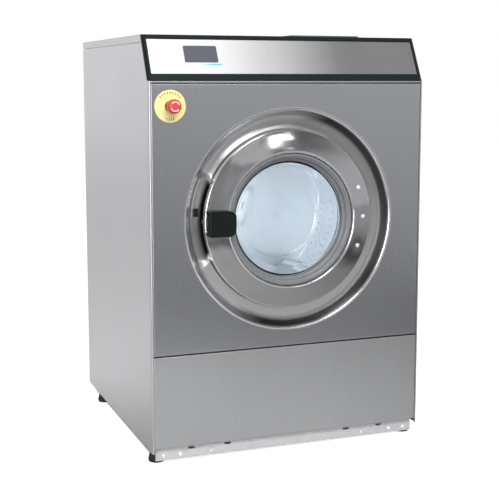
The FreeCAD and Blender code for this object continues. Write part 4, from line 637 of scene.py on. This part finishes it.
# tiles of the wall, one to a hole, every other row moved by half a tile: x, y, z = radius cos, run, radius sin
def drumWall(values):
    spots = np.array([(0, -1), (1, -1), (1, 0), (1, 1), (0, 1), (-1, 1), (-1, 0), (-1, -1)])
    turn = np.arctan2(spots[:, 1], spots[:, 0])
    pitchTurn = 2 * np.pi / values["holesRound"]
    pitchRun = (values["back"] - values["front"]) / values["rows"]
    around, along = np.meshgrid(np.arange(values["holesRound"]), np.arange(values["rows"]), indexing="ij")
    midTurn = ((around + 0.5 * (along % 2)) * pitchTurn)[..., None, None]
    midRun = (values["front"] + (along + 0.5) * pitchRun)[..., None, None]
    # rings of one tile: its square edge, round the hole, the hole's edge, the lip pressed outwards
    shrink = values["holeRadius"] * np.array(values["holeShares"])[:, None]
    acrossTurn = np.concatenate([spots[None, :, 0] * pitchTurn / 2, shrink * np.cos(turn) / values["radius"]])
    acrossRun = np.concatenate([spots[None, :, 1] * pitchRun / 2, shrink * np.sin(turn)])
    theta = midTurn + acrossTurn
    run = midRun + acrossRun
    radius = values["radius"] + values["press"] * np.array(values["pressShares"])[:, None] + 0 * theta
    points = np.stack([radius * np.cos(theta), frontY + run, doorZ + radius * np.sin(theta)], -1)
    rings, corners = acrossTurn.shape
    tile = np.array(gridFaces(rings, corners, False, True))
    first = np.arange(around.size)[:, None, None] * rings * corners
    return points, (first + tile).reshape(-1, 4).tolist()


drumEdge, passes = drumSheet["radius"], drumSheet["passes"]
mouthLine = softLine(
    [*drumSheet["mouth"], (drumEdge, drumSheet["shoulder"]), (drumEdge, drumSheet["front"])], passes)
backLine = softLine(
    [(drumEdge, drumSheet["back"]), (drumEdge, drumSheet["backEdge"]), *drumSheet["dish"]], passes)
drumParts = [drumWall(drumSheet)]
for line in (mouthLine, backLine):
    drumParts.append(spun(line, doorCentre, steps=2 * drumSheet["holesRound"], closed=False))
drumPiece = makePiece(
    "drumSheet", drumParts, "drumSteel", inwards=(0.0, frontY + 0.3, doorZ), sharp=50.0)
thicken(drumPiece, drumSheet["wall"])
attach(drumPiece, "drum")
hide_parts("drum_shell")
print("drum sheet:", len(drumPiece.data.polygons), "faces")

# pressed front sheet: depth by radius and angle about the door's line, with the finger pocket sunk into
# the dish, then flat out to the edges, which are folded back
frontSheet = dict(
    steps=432, sheet=0.0015, fold=0.022, edge=0.003, stopHole=0.0112, lineStep=0.0035, flatRings=14,
    bendRings=5,
    line=((0.326, 0.0), (0.320, 0.0, 0.009), (0.299, 0.028, 0.016), (0.224, 0.044, 0.005), (0.219, 0.062)),
    pocket=dict(start=154.0, end=203.0, inner=0.253, outer=0.319, sheer=5e-5, depth=0.046, lean=1.222,
        wallRadius=0.314, wallDepth=0.012, wallSlope=1.789, soft=0.008, lip=0.003, bowAt=0.280, bow=0.05),
    latch=dict(near=0.228, far=0.263, half=2.4))
sheetLow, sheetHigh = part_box("front_panel")
discLow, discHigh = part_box("stop_disc")
stopX, stopZ = (discLow.x + discHigh.x) / 2, (discLow.z + discHigh.z) / 2


# finger pocket: its floor, less the way beyond its bowed ends / lean, under a wall that falls from the lip;
# way beyond = radius sin(angle past the end) + (radius - bow's middle) squared / bow
def pocketDepth(values, radius, turn):
    start, end = math.radians(values["start"]), math.radians(values["end"])
    beyond = np.maximum(radius * np.sin(start - turn), radius * np.sin(turn - end))
    beyond = beyond + (radius - values["bowAt"]) ** 2 / values["bow"]
    ends = values["depth"] - softHigher(0.0 * beyond, beyond, values["soft"]) / values["lean"]
    wall = values["wallDepth"] + (values["wallRadius"] - radius) * values["wallSlope"]
    return softLower(ends, wall + 0.0 * ends, values["soft"])


def frontRings(values):
    inset = values["edge"]
    right, up, down = sheetHigh.x - inset, sheetHigh.z - inset - doorZ, doorZ - sheetLow.z - inset
    corners = np.arctan2([up, up, -down, -down], [right, -right, -right, right]) % (2 * np.pi)
    turn = np.unique(np.concatenate([np.linspace(0.0, 2 * np.pi, values["steps"], endpoint=False), corners]))
    c, s = np.cos(turn), np.sin(turn)
    # dish: the pressed line, with a sheer step where the pocket runs in under the door
    pocket = values["pocket"]
    line = pressedLine(values["line"], values["lineStep"])
    step = np.interp(pocket["inner"], line[::-1, 0], line[::-1, 1])
    stepSpots = [(pocket["inner"] + way * pocket["sheer"], step) for way in (1, -1)]
    line = np.concatenate([line, stepSpots])
    line = line[np.argsort(line[:, 0])]
    radius, depth = line[:, :1] + 0 * turn, line[:, 1:] + 0 * turn
    sunk = softHigher(depth, pocketDepth(pocket, radius, turn), pocket["lip"])
    depth = np.where((radius > pocket["inner"]) & (radius < pocket["outer"]), sunk, depth)
    x, z = radius * c, radius * s
    # flat: from the dish's edge out to the inset outline
    toSide, toEnd = right / np.maximum(np.abs(c), 1e-9), np.where(s > 0, up, down) / np.maximum(np.abs(s), 1e-9)
    limit = np.minimum(toSide, toEnd)
    share = np.linspace(0.0, 1.0, values["flatRings"] + 1)[1:, None]
    reach = line[-1, 0] + (limit - line[-1, 0]) * share
    # fold: a quarter round and a straight flange, outwards along the side that each ray meets
    sideX = np.where(toSide <= toEnd + 1e-9, np.sign(c), 0.0)
    sideZ = np.where(toEnd <= toSide + 1e-9, np.sign(s), 0.0)
    bend = np.radians(np.linspace(0.0, 90.0, values["bendRings"] + 1)[1:, None])
    out = np.concatenate([inset * np.sin(bend), [[inset]]])
    back = np.concatenate([inset * (1 - np.cos(bend)), [[values["fold"]]]])
    x = np.concatenate([x, reach * c, limit * c + out * sideX])
    z = np.concatenate([z, reach * s, limit * s + out * sideZ])
    depth = np.concatenate([depth, 0 * reach, back + 0 * turn])
    return np.stack([x, frontY + depth, doorZ + z], -1)


# holes for the latch and the stop
def frontCut(x, depth, z):
    latch = frontSheet["latch"]
    reach, awayLeft = np.hypot(x, z), np.degrees(np.arctan2(z, -x))
    atLatch = (np.abs(awayLeft) < latch["half"]) & (reach > latch["near"]) & (reach < latch["far"])
    return atLatch | (np.hypot(x - stopX, z + doorZ - stopZ) < frontSheet["stopHole"])


sheetPiece = makeSheet(
    "frontSheet", frontRings(frontSheet), frontCut, "frontSteel", frontSheet["sheet"])
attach(sheetPiece, "cabinet")
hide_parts("front_panel")

# door ring: hemmed rim, crowned cone, rolled bead and funnel lip, turned about the door's line; the cone bulges
# by (half width squared - distance from its middle squared) / twice the curve, is drawn in round the screws
# and waves a little, each ripple by (waves round, their start, share, half waves across)
doorRing = dict(
    steps=720, sheet=0.0015,
    line=((0.261, 0.0321), (0.261, 0.012, 0.003), (0.201, -0.010, 0.005), (0.195, -0.010, 0.005),
        (0.193, 0.006)),
    cone=(0.201, 0.261), curve=0.60, screwCircle=0.232, screwAngles=(-22.0, 0.0, 22.0), dent=0.0012,
    dentWidth=0.016, wave=0.00016, ripples=((6, 1.3, 1.0, 2), (11, 0.4, 0.7, 3)), lineStep=0.0024,
    rimGap=0.0005, frontDepth=0.0125, hinge=(0.2475, 0.014, 0.061),
    slots=((-0.2565, -0.236, 0.0, 0.007), (-0.2565, -0.232, 0.022, 0.003), (-0.2565, -0.232, -0.022, 0.003)))
line = pressedLine(doorRing["line"], doorRing["lineStep"])
turn = np.linspace(0.0, 2 * np.pi, doorRing["steps"], endpoint=False)
radius, depth = line[:, :1] + 0 * turn, line[:, 1:] + 0 * turn
inner, outer = doorRing["cone"]
onCone = np.clip((radius - inner) * (outer - radius), 0.0, None) / (2 * doorRing["curve"])
x, z = radius * np.cos(turn), radius * np.sin(turn)
for angle in np.radians(doorRing["screwAngles"]):
    gap = np.hypot(x - doorRing["screwCircle"] * math.cos(angle), z - doorRing["screwCircle"] * math.sin(angle))
    onCone = onCone - doorRing["dent"] * np.exp(-(gap / doorRing["dentWidth"]) ** 2)
across = (radius - inner) / (outer - inner)
ripple = sum(share * np.sin(waves * turn + begin) * np.sin(halves * np.pi * across)
             for waves, begin, share, halves in doorRing["ripples"])
onFront = (radius > inner) & (radius < outer - doorRing["rimGap"]) & (depth < doorRing["frontDepth"])
calm = np.clip(8 * across * (1 - across), 0.0, 1.0)  # no ripple at the cone's edges
depth = depth - onFront * (onCone + doorRing["wave"] * ripple * calm)
ringPoints = np.stack([x, frontY + depth, doorZ + z], -1)


# notch in the rim for the hinge, slots for the handle's brackets
def ringCut(x, depth, z):
    hingeX, hingeDepth, hingeHalf = doorRing["hinge"]
    cut = (x > hingeX) & (depth > hingeDepth) & (np.abs(z) < hingeHalf)
    for left, right, level, half in doorRing["slots"]:
        cut |= (x > left) & (x < right) & (np.abs(z - level) < half) & (depth < hingeDepth)
    return cut


ringPiece = makeSheet("doorRing", ringPoints, ringCut, "doorSteel", doorRing["sheet"])
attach(ringPiece, "door")
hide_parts("door_ring")

# glass gasket: the moulding's outline turned about the door's line, two ridges raised on its sloping face
# by rise * exp(-((radius - ridge) / width) squared)
gasket = dict(
    steps=240, lineStep=0.0006, faceDepth=0.0215, ridges=(0.1728, 0.1812), rise=0.0022, width=0.0017,
    face=(0.1695, 0.1855), slope=(0.816, 0.578),
    line=((0.169, 0.0229), (0.169, 0.022, 0.0005), (0.186, -0.002, 0.002), (0.1926, -0.001, 0.001),
        (0.1926, 0.007), (0.198, 0.012), (0.198, 0.032), (0.174, 0.032), (0.174, 0.0291), (0.1841, 0.0291),
        (0.1841, 0.0229)))
line = pressedLine(gasket["line"], gasket["lineStep"])
radius, depth = line.T
inner, outer = gasket["face"]
onFace = (depth < gasket["faceDepth"]) & (radius > inner) & (radius < outer)
ridges = sum(np.exp(-((radius - ridge) / gasket["width"]) ** 2) for ridge in gasket["ridges"])
swell = gasket["rise"] * ridges * onFace
line = line - swell[:, None] * np.array(gasket["slope"])
gasketPiece = makePiece(
    "glassGasket", [spun(line, doorCentre, steps=gasket["steps"])], "gasketRubber",
    sharp=60.0)
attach(gasketPiece, "door")
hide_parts("glass_gasket")
print("pressed sheets:", len(sheetPiece.data.polygons), "and", len(ringPiece.data.polygons), "faces")

# bellows between the throat and the tub: a soft wall with one outward fold, turned about the door's line
bellows = dict(
    wall=0.0038, gives=(0.062, 0.086), steps=160,
    line=[(0.2010, 0.0352), (0.2095, 0.0400), (0.2145, 0.0440), (0.2155, 0.0560), (0.2160, 0.0668),
        (0.2330, 0.0692), (0.2485, 0.0690), (0.2500, 0.0730), (0.2485, 0.0770), (0.2330, 0.0774),
        (0.2170, 0.0790), (0.2160, 0.0880), (0.2160, 0.1000)])
sealOutline = wallOutline(softLine(bellows["line"]), bellows["wall"])
sealSkin = spun(sealOutline, doorCentre, steps=bellows["steps"])
sealPiece = makePiece("doorBellows", [sealSkin], "sealRubber")
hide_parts("door_seal")
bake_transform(sealPiece)

# suspension coils: a round wire along a helix (radius cos, radius sin, rise), whose end turns close up
coils = dict(outer=0.034, wire=0.009, turns=9.5, flat=0.9, flatRise=0.045, sides=10, steps=36)
springLow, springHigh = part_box("suspension_springs")
outer, wire = coils["outer"], coils["wire"]
share = np.linspace(0.0, 1.0, int(coils["turns"] * coils["steps"]))
closing = coils["flat"] / coils["turns"]
flatRise = coils["flatRise"]
rise = np.interp(share, [0.0, closing, 1.0 - closing, 1.0], [0.0, flatRise, 1.0 - flatRise, 1.0])
turn = share * coils["turns"] * 2 * np.pi
height = springLow.z + wire / 2 + rise * (springHigh.z - springLow.z - wire)
wireRadius = np.where((share == 0.0) | (share == 1.0), 0.0, wire / 2)
spokes = np.stack([np.cos(turn), np.sin(turn), 0 * turn], -1)
coilParts = []
for x in (springLow.x + outer, springHigh.x - outer):
    for y in (springLow.y + outer, springHigh.y - outer):
        path = (outer - wire / 2) * spokes + np.stack([x + 0 * turn, y + 0 * turn, height], -1)
        coilParts.append(tubeRound(path, wireRadius, spokes, coils["sides"]))
coilPiece = makePiece("suspensionCoils", coilParts, "springSteel")
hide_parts("suspension_springs")
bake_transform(coilPiece)

# drain hose: down from the tub, round a bend and back to the valve, ribbed by rib * cos(2 pi along / pitch)
drainHose = dict(
    bend=0.070, radius=0.0315, bore=0.0283, rib=0.0013, pitch=0.011, outer=0.033, cuff=0.02, steps=220,
    sides=32)
hoseLow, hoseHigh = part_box("drain_hose")
hoseX = (hoseLow.x + hoseHigh.x) / 2
bend, outer, sides = drainHose["bend"], drainHose["outer"], drainHose["sides"]
topY, runZ = hoseLow.y + outer, hoseLow.z + outer
down, arc, back = hoseHigh.z - runZ - bend, bend * np.pi / 2, hoseHigh.y - topY - bend
along = np.linspace(0.0, down + arc + back, drainHose["steps"])
swing = np.clip((along - down) / bend, 0.0, np.pi / 2)
hoseY = topY + bend * (1 - np.cos(swing)) + np.maximum(along - down - arc, 0.0)
hoseZ = hoseHigh.z - np.minimum(along, down) - bend * np.sin(swing)
path = np.stack([hoseX + 0 * along, hoseY, hoseZ], -1)
ribs = drainHose["radius"] + drainHose["rib"] * np.cos(2 * np.pi * along / drainHose["pitch"])
across = np.tile((1.0, 0.0, 0.0), (len(path), 1))
outside, _ = tubeRound(path, ribs, across, sides)
inside, _ = tubeRound(path, 0 * along + drainHose["bore"], across, sides)
hoseSkin = np.concatenate([outside, inside[::-1]])
drainPiece = makePiece(
    "drainHose", [(hoseSkin, gridFaces(len(hoseSkin), sides, True, True))], "hoseRubber")
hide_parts("drain_hose")
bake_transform(drainPiece)

# filling hose: short bellows under the soap hopper, turned about an upright line, its radius waved by
# wave * (1 - cos(2 pi folds * share of the height)) / 2
fillHose = dict(
    radius=0.0262, bore=0.0222, wave=0.0042, boreWave=0.8, folds=5, cuff=0.016, topCuff=0.006, held=0.004,
    steps=140, sides=48)
fillLow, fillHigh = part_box("fill_hose")
fillCentre = ((fillLow.x + fillHigh.x) / 2, (fillLow.y + fillHigh.y) / 2, 0.0)
level = np.linspace(fillLow.z, fillHigh.z, fillHose["steps"])
freeLength = fillHigh.z - fillLow.z - fillHose["cuff"] - fillHose["topCuff"]
free = np.clip((level - fillLow.z - fillHose["cuff"]) / freeLength, 0.0, 1.0)
wave = fillHose["wave"] * (1 - np.cos(2 * np.pi * fillHose["folds"] * free)) / 2
outer = np.stack([fillHose["radius"] + wave, level], -1)
inner = np.stack([fillHose["bore"] + fillHose["boreWave"] * wave, level], -1)
fillSkin = spun(np.concatenate([outer, inner[::-1]]), fillCentre, "z", fillHose["sides"])
fillPiece = makePiece("fillHose", [fillSkin], "hoseRubber")
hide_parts("fill_hose")
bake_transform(fillPiece)
print("soft links ready")


# place on the sloping control panel: across, up the slope, out of its face
slope = dict(run=0.066, rise=0.128)
slopeAngle = math.atan2(slope["run"], slope["rise"])
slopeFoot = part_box("console_frame")[0].z


def onSlope(x, up, out):
    y = frontY + up * math.sin(slopeAngle) - out * math.cos(slopeAngle)
    z = slopeFoot + up * math.cos(slopeAngle) + out * math.sin(slopeAngle)
    return np.stack([x, y, z], -1)


# plain key marks, printed a hair proud of the film, each by (across, up, length, width, turn)
keyMarks = dict(
    face=-0.0031, proud=0.00008,
    marks=((-0.168, 0.0868, 0.0055, 0.0016, 0.0), (-0.150, 0.0935, 0.0065, 0.0016, 0.3),
           (-0.114, 0.0930, 0.0048, 0.0020, 0.8), (-0.0855, 0.0905, 0.0052, 0.0030, 0.0),
           (-0.055, 0.0925, 0.0045, 0.0022, 0.0)))


def printOnFilm(name, outlines, look):
    ink = plates(outlines, onSlope, keyMarks["face"], keyMarks["face"] + keyMarks["proud"])
    makePiece(name, [ink], look, "cabinet", sharp=0.0)


printOnFilm("keyMarks", [pill(*mark) for mark in keyMarks["marks"]], "iconGrey")

# thin line under the display
displayLine = dict(up=0.0532, high=0.0040)
left, right = lineFinish["left"], lineFinish["right"]
lineMiddle, lineLength = (left + right) / 2, right - left
printOnFilm("displayLine", [pill(lineMiddle, displayLine["up"], lineLength, displayLine["high"])], "lineInk")

# tick marks round the stop disc, and two turn arrows on its head
stopMarks = dict(
    ring=0.0370, tick=0.0080, width=0.0023, upper=(42.0, 138.0, 9), lower=(254.0, 286.0, 4), tickProud=0.00012,
    arrow=0.0125, band=0.0030, starts=(20.0, 200.0), sweep=130.0, neck=0.72, head=2.2, tip=0.02, steps=18,
    arrowProud=0.00015)
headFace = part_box("stop_head")[0].y


def onStop(faceY):
    return lambda x, z, out: np.stack([stopX + x, faceY - out + 0 * x, stopZ + z], -1)


angles = np.radians(np.concatenate([np.linspace(*stopMarks["upper"]), np.linspace(*stopMarks["lower"])]))
spots = stopMarks["ring"] * np.stack([np.cos(angles), np.sin(angles)], -1)
ticks = [pill(*spot, stopMarks["tick"], stopMarks["width"], angle) for spot, angle in zip(spots, angles)]
tickPlates = plates(ticks, onStop(discLow.y), 0.0, stopMarks["tickProud"])
makePiece("stopTicks", [tickPlates], "markDark", "cabinet", sharp=0.0)


# curved arrow: a band along an arc that widens into a head and comes to a point
def turnArrow(values, start):
    t = np.linspace(0.0, 1.0, values["steps"])
    head = values["head"] * (1.0 - t) / (1.0 - values["neck"]) + values["tip"]
    broad = np.where(t < values["neck"], 1.0, head) * values["band"] / 2
    angle = np.radians(start + values["sweep"] * t)
    around = np.stack([np.cos(angle), np.sin(angle)], -1)
    outer, inner = ((values["arrow"] + side * broad)[:, None] * around for side in (1.0, -1.0))
    return np.concatenate([outer, inner[::-1]])


arrows = [turnArrow(stopMarks, start) for start in stopMarks["starts"]]
arrowPlates = plates(arrows, onStop(headFace), 0.0, stopMarks["arrowProud"])
makePiece("stopArrows", [arrowPlates], "arrowWhite", "stop_head", sharp=0.0)

# pan head screws: a dome over a polar grid, height = rise (1 - r^3) less a cross that falls off with radius
screwHead = dict(
    radius=0.0052, rise=0.0026, cross=0.0016, arm=0.13, armEnd=0.62, armFade=0.12, rings=9, steps=32)


def screwHeads(places, direction, size=1.0):
    r = np.linspace(0.0, 1.0, screwHead["rings"])[:, None]
    t = np.linspace(0.0, 2 * np.pi, screwHead["steps"], endpoint=False)[None]
    arms = np.maximum(*(np.exp(-(r * wave / screwHead["arm"]) ** 2) for wave in (np.sin(t), np.cos(t))))
    recess = screwHead["cross"] * arms * np.clip((screwHead["armEnd"] - r) / screwHead["armFade"], 0.0, 1.0)
    out = screwHead["rise"] * (1 - r ** 3) - recess
    reach = screwHead["radius"] * r
    dome = np.stack([reach * np.cos(t), direction * (out + 0 * t), reach * np.sin(t)], -1)
    shut = np.zeros((1, screwHead["steps"], 3))
    head = np.concatenate([dome, shut])
    faces = gridFaces(len(head), screwHead["steps"], False, True)
    return [(size * head + np.asarray(place), faces) for place in places]


rearScrews = dict(rim=0.0075, inset=0.007, rows=6, middle=0.10, sideInset=0.012, sideEnd=0.05, sideRows=7)
coverLow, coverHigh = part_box("rear_cover")
sideLow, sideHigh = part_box("side_panel_right")
coverFace = coverHigh.y - rearScrews["rim"]
inset, middle = rearScrews["inset"], rearScrews["middle"]
rows = np.linspace(coverLow.z + inset, coverHigh.z - inset, rearScrews["rows"])
places = [(x, coverFace, z) for x in (coverLow.x + inset, coverHigh.x - inset) for z in rows]
places += [(x, coverFace, z) for x in (-middle, middle) for z in (rows[0], rows[-1])]
sideX = sideHigh.x - rearScrews["sideInset"]
sideRows = np.linspace(
    sideLow.z + rearScrews["sideEnd"], sideHigh.z - rearScrews["sideEnd"], rearScrews["sideRows"])
places += [(x, sideHigh.y, z) for x in (-sideX, sideX) for z in sideRows]
makePiece("rearScrews", screwHeads(places, 1.0), "screwSteel", "cabinet")

# zinc screws in the base's front rail
railScrews = dict(insets=(0.065, 0.016), up=0.0225, back=0.015, half=0.403, size=1.25)
places = [(sign * (railScrews["half"] - inset), frontY + railScrews["back"], railScrews["up"])
          for sign in (-1, 1) for inset in railScrews["insets"]]
makePiece("railScrews", screwHeads(places, -1.0, railScrews["size"]), "screwSteel", "cabinet")

# inlet threads: zigzag profile of one pitch turned about each spigot
threads = dict(pitch=0.0018, crest=0.0005, root=-0.0001, inside=0.001, radius=0.0132, start=0.8262, end=0.8490,
               valveHalf=0.019, steps=40)
inletLow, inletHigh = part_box("water_inlets")
zig = np.arange(threads["start"], threads["end"], threads["pitch"] / 2)
crest = np.where(np.arange(len(zig)) % 2 == 0, threads["root"], threads["crest"])
inside = threads["radius"] - threads["inside"]
threadLine = [*zip(threads["radius"] + crest, zig), (inside, zig[-1]), (inside, zig[0])]
inletZ = inletLow.z + threads["valveHalf"]
inletX = (inletLow.x + threads["valveHalf"], inletHigh.x - threads["valveHalf"])
threadParts = [spun(threadLine, (x, frontY, inletZ), steps=threads["steps"]) for x in inletX]
makePiece("inletThreads", threadParts, "screwSteel", "cabinet")
print("marks and fasteners ready")


# floor, world and lights
stage = dict(
    floor=(0.90, 0.90, 0.90), speck=0.985, speckNoise=(3.0, 3.0, 0.5), rough=0.7, backFrom=-0.4, backTo=0.8,
    half=14.0, glow=0.80, behind=0.80, backGlow=0.30, nearest=(-0.35, -0.42, 0.0), furthest=6.0,
    mirrored=((0.0, 0.46), (0.10, 0.46), (0.19, 0.37), (0.235, 0.38), (0.30, 0.06), (0.41, 0.13), (0.65, 0.36),
        (1.0, 0.64)),
    rightGlow=0.20, rightFrom=1.0, rightTo=3.0, shadeHalf=0.40, shadeFrom=-0.318, shadeTo=0.42)
tree, shader = startMaterial("paleFloor", 0.0)
speck = noiseNode(tree, objectPlace(tree), *stage["speckNoise"])
pale = mixColor(tree, speck, [stage["speck"] * part for part in stage["floor"]], stage["floor"])
# the steel sees a greyer floor than the lens
direct = addNode(tree, "ShaderNodeLightPath").outputs["Is Camera Ray"]
spot = objectPlace(tree)
axes = splitAxes(tree, spot)
depth = rangeNode(tree, axes["Y"], stage["backFrom"], stage["backTo"], smooth=True)
away = vectorNode(tree, "DISTANCE", spot, stage["nearest"])["Value"]
nearby = rampNode(
    tree, rangeNode(tree, away, 0.0, stage["furthest"]),
    [(stop, (tone, tone, tone)) for stop, tone in stage["mirrored"]])
mirrored = mixColor(tree, depth, nearby, (stage["behind"],) * 3)
rightward = rangeNode(tree, axes["X"], stage["rightFrom"], stage["rightTo"], 0.0, stage["rightGlow"], True)
away = mathNode(tree, "ADD", mathNode(tree, "MULTIPLY", depth, stage["backGlow"]), rightward)
between = mathNode(tree, "LESS_THAN", mathNode(tree, "ABSOLUTE", axes["X"]), stage["shadeHalf"])
before = mathNode(tree, "LESS_THAN", axes["Y"], stage["shadeTo"])
behind = mathNode(tree, "GREATER_THAN", axes["Y"], stage["shadeFrom"])
under = mathNode(tree, "MULTIPLY", mathNode(tree, "MULTIPLY", between, before), behind)
glow = mixValue(tree, direct, away, mixValue(tree, under, stage["glow"], 0.0))
feed(tree, shader, {
    "Base Color": mixColor(tree, direct, mirrored, pale), "Roughness": stage["rough"],
    "Emission Color": (1.0, 1.0, 1.0), "Emission Strength": glow})
floorPoints = stage["half"] * np.array([(-1, -1, 0), (1, -1, 0), (1, 1, 0), (-1, 1, 0)])
floor = makePiece("studioFloor", [(floorPoints, [(0, 1, 2, 3)])], "paleFloor")

# studio room: bright behind, a dark flag at the left, mid grey before the front, dark overhead, plain white for
# the lens; its stops go round by azimuth from the back (-180) over the left, the front (0) and the right
sky = dict(
    top=0.20, upFrom=0.22, upTo=0.56, cool=1.015, seen=1.0, strength=1.0,
    round=((-180.0, 0.98), (-122.0, 0.92), (-104.0, 0.06), (-66.0, 0.03), (-60.0, 3.2), (-38.0, 3.2),
        (-32.0, 0.20), (-5.0, 0.55), (60.0, 0.66), (76.0, 0.66), (84.0, 1.4), (104.0, 1.4), (122.0, 0.85),
        (180.0, 0.98)))
world = bpy.data.worlds.new("studio")
scene.world = world
world.use_nodes = True
tree = world.node_tree
background = tree.nodes["Background"]
heading = splitAxes(tree, addNode(tree, "ShaderNodeTexCoord").outputs["Generated"])
azimuth = mathNode(tree, "ARCTAN2", heading["X"], mathNode(tree, "MULTIPLY", heading["Y"], -1.0))
walls = rampNode(
    tree, rangeNode(tree, azimuth, -math.pi, math.pi),
    [((angle + 180.0) / 360.0, (tone, tone, tone * sky["cool"])) for angle, tone in sky["round"]])
upness = rangeNode(tree, heading["Z"], sky["upFrom"], sky["upTo"], smooth=True)
room = mixColor(tree, upness, walls, (sky["top"],) * 3)
seen = addNode(tree, "ShaderNodeLightPath").outputs["Is Camera Ray"]
feed(tree, background, {"Color": mixColor(tree, seen, room, (sky["seen"],) * 3), "Strength": sky["strength"]})


def areaLight(name, place, aim, size, power, tint=(1.0, 1.0, 1.0), glare=True):
    lamp = bpy.data.lights.new(name, "AREA")
    lamp.shape = "RECTANGLE"
    lamp.size, lamp.size_y = size
    lamp.energy = power
    lamp.color = tint
    light = bpy.data.objects.new(name, lamp)
    light.location = place
    light.rotation_euler = (Vector(aim) - Vector(place)).to_track_quat("-Z", "Y").to_euler()
    light.visible_camera = False
    light.visible_transmission = False
    light.visible_glossy = glare
    scene.collection.objects.link(light)
    return light


lights = dict(
    fill=dict(place=(-0.8, -3.6, 3.0), aim=(0.0, 0.0, 0.6), size=(3.0, 2.4), power=150.0, glare=False),
    ringPatch=dict(place=(0.86, -2.75, 2.70), aim=(0.0, -0.4, 0.9), size=(0.74, 0.20), power=3.6),
    lipStrip=dict(place=(-1.75, -2.60, 0.75), aim=(0.3, -0.4, 0.7), size=(0.30, 1.4), power=14.0),
    upperSoft=dict(place=(-0.45, -2.2, 2.85), aim=(0.0, -0.4, 0.7), size=(1.2, 0.7), power=20.0),
    ringSoft=dict(place=(-0.1, -2.3, 1.95), aim=(0.0, -0.4, 0.9), size=(1.0, 0.45), power=0.6),
    drumGlow=dict(place=(0.05, frontY + 0.135, doorZ - 0.03), aim=(0.05, frontY + 0.6, doorZ - 0.03),
        size=(0.32, 0.32), power=0.45, tint=(0.86, 0.94, 1.0)),
    drumSide=dict(place=(-0.08, frontY + 0.30, doorZ), aim=(0.33, frontY + 0.42, doorZ - 0.04), size=(0.3, 0.3),
        power=0.60, tint=(0.90, 0.96, 1.0)))
for name, values in lights.items():
    areaLight(name, **values)
scene.view_settings.view_transform = "Standard"
print("stage and lights ready")
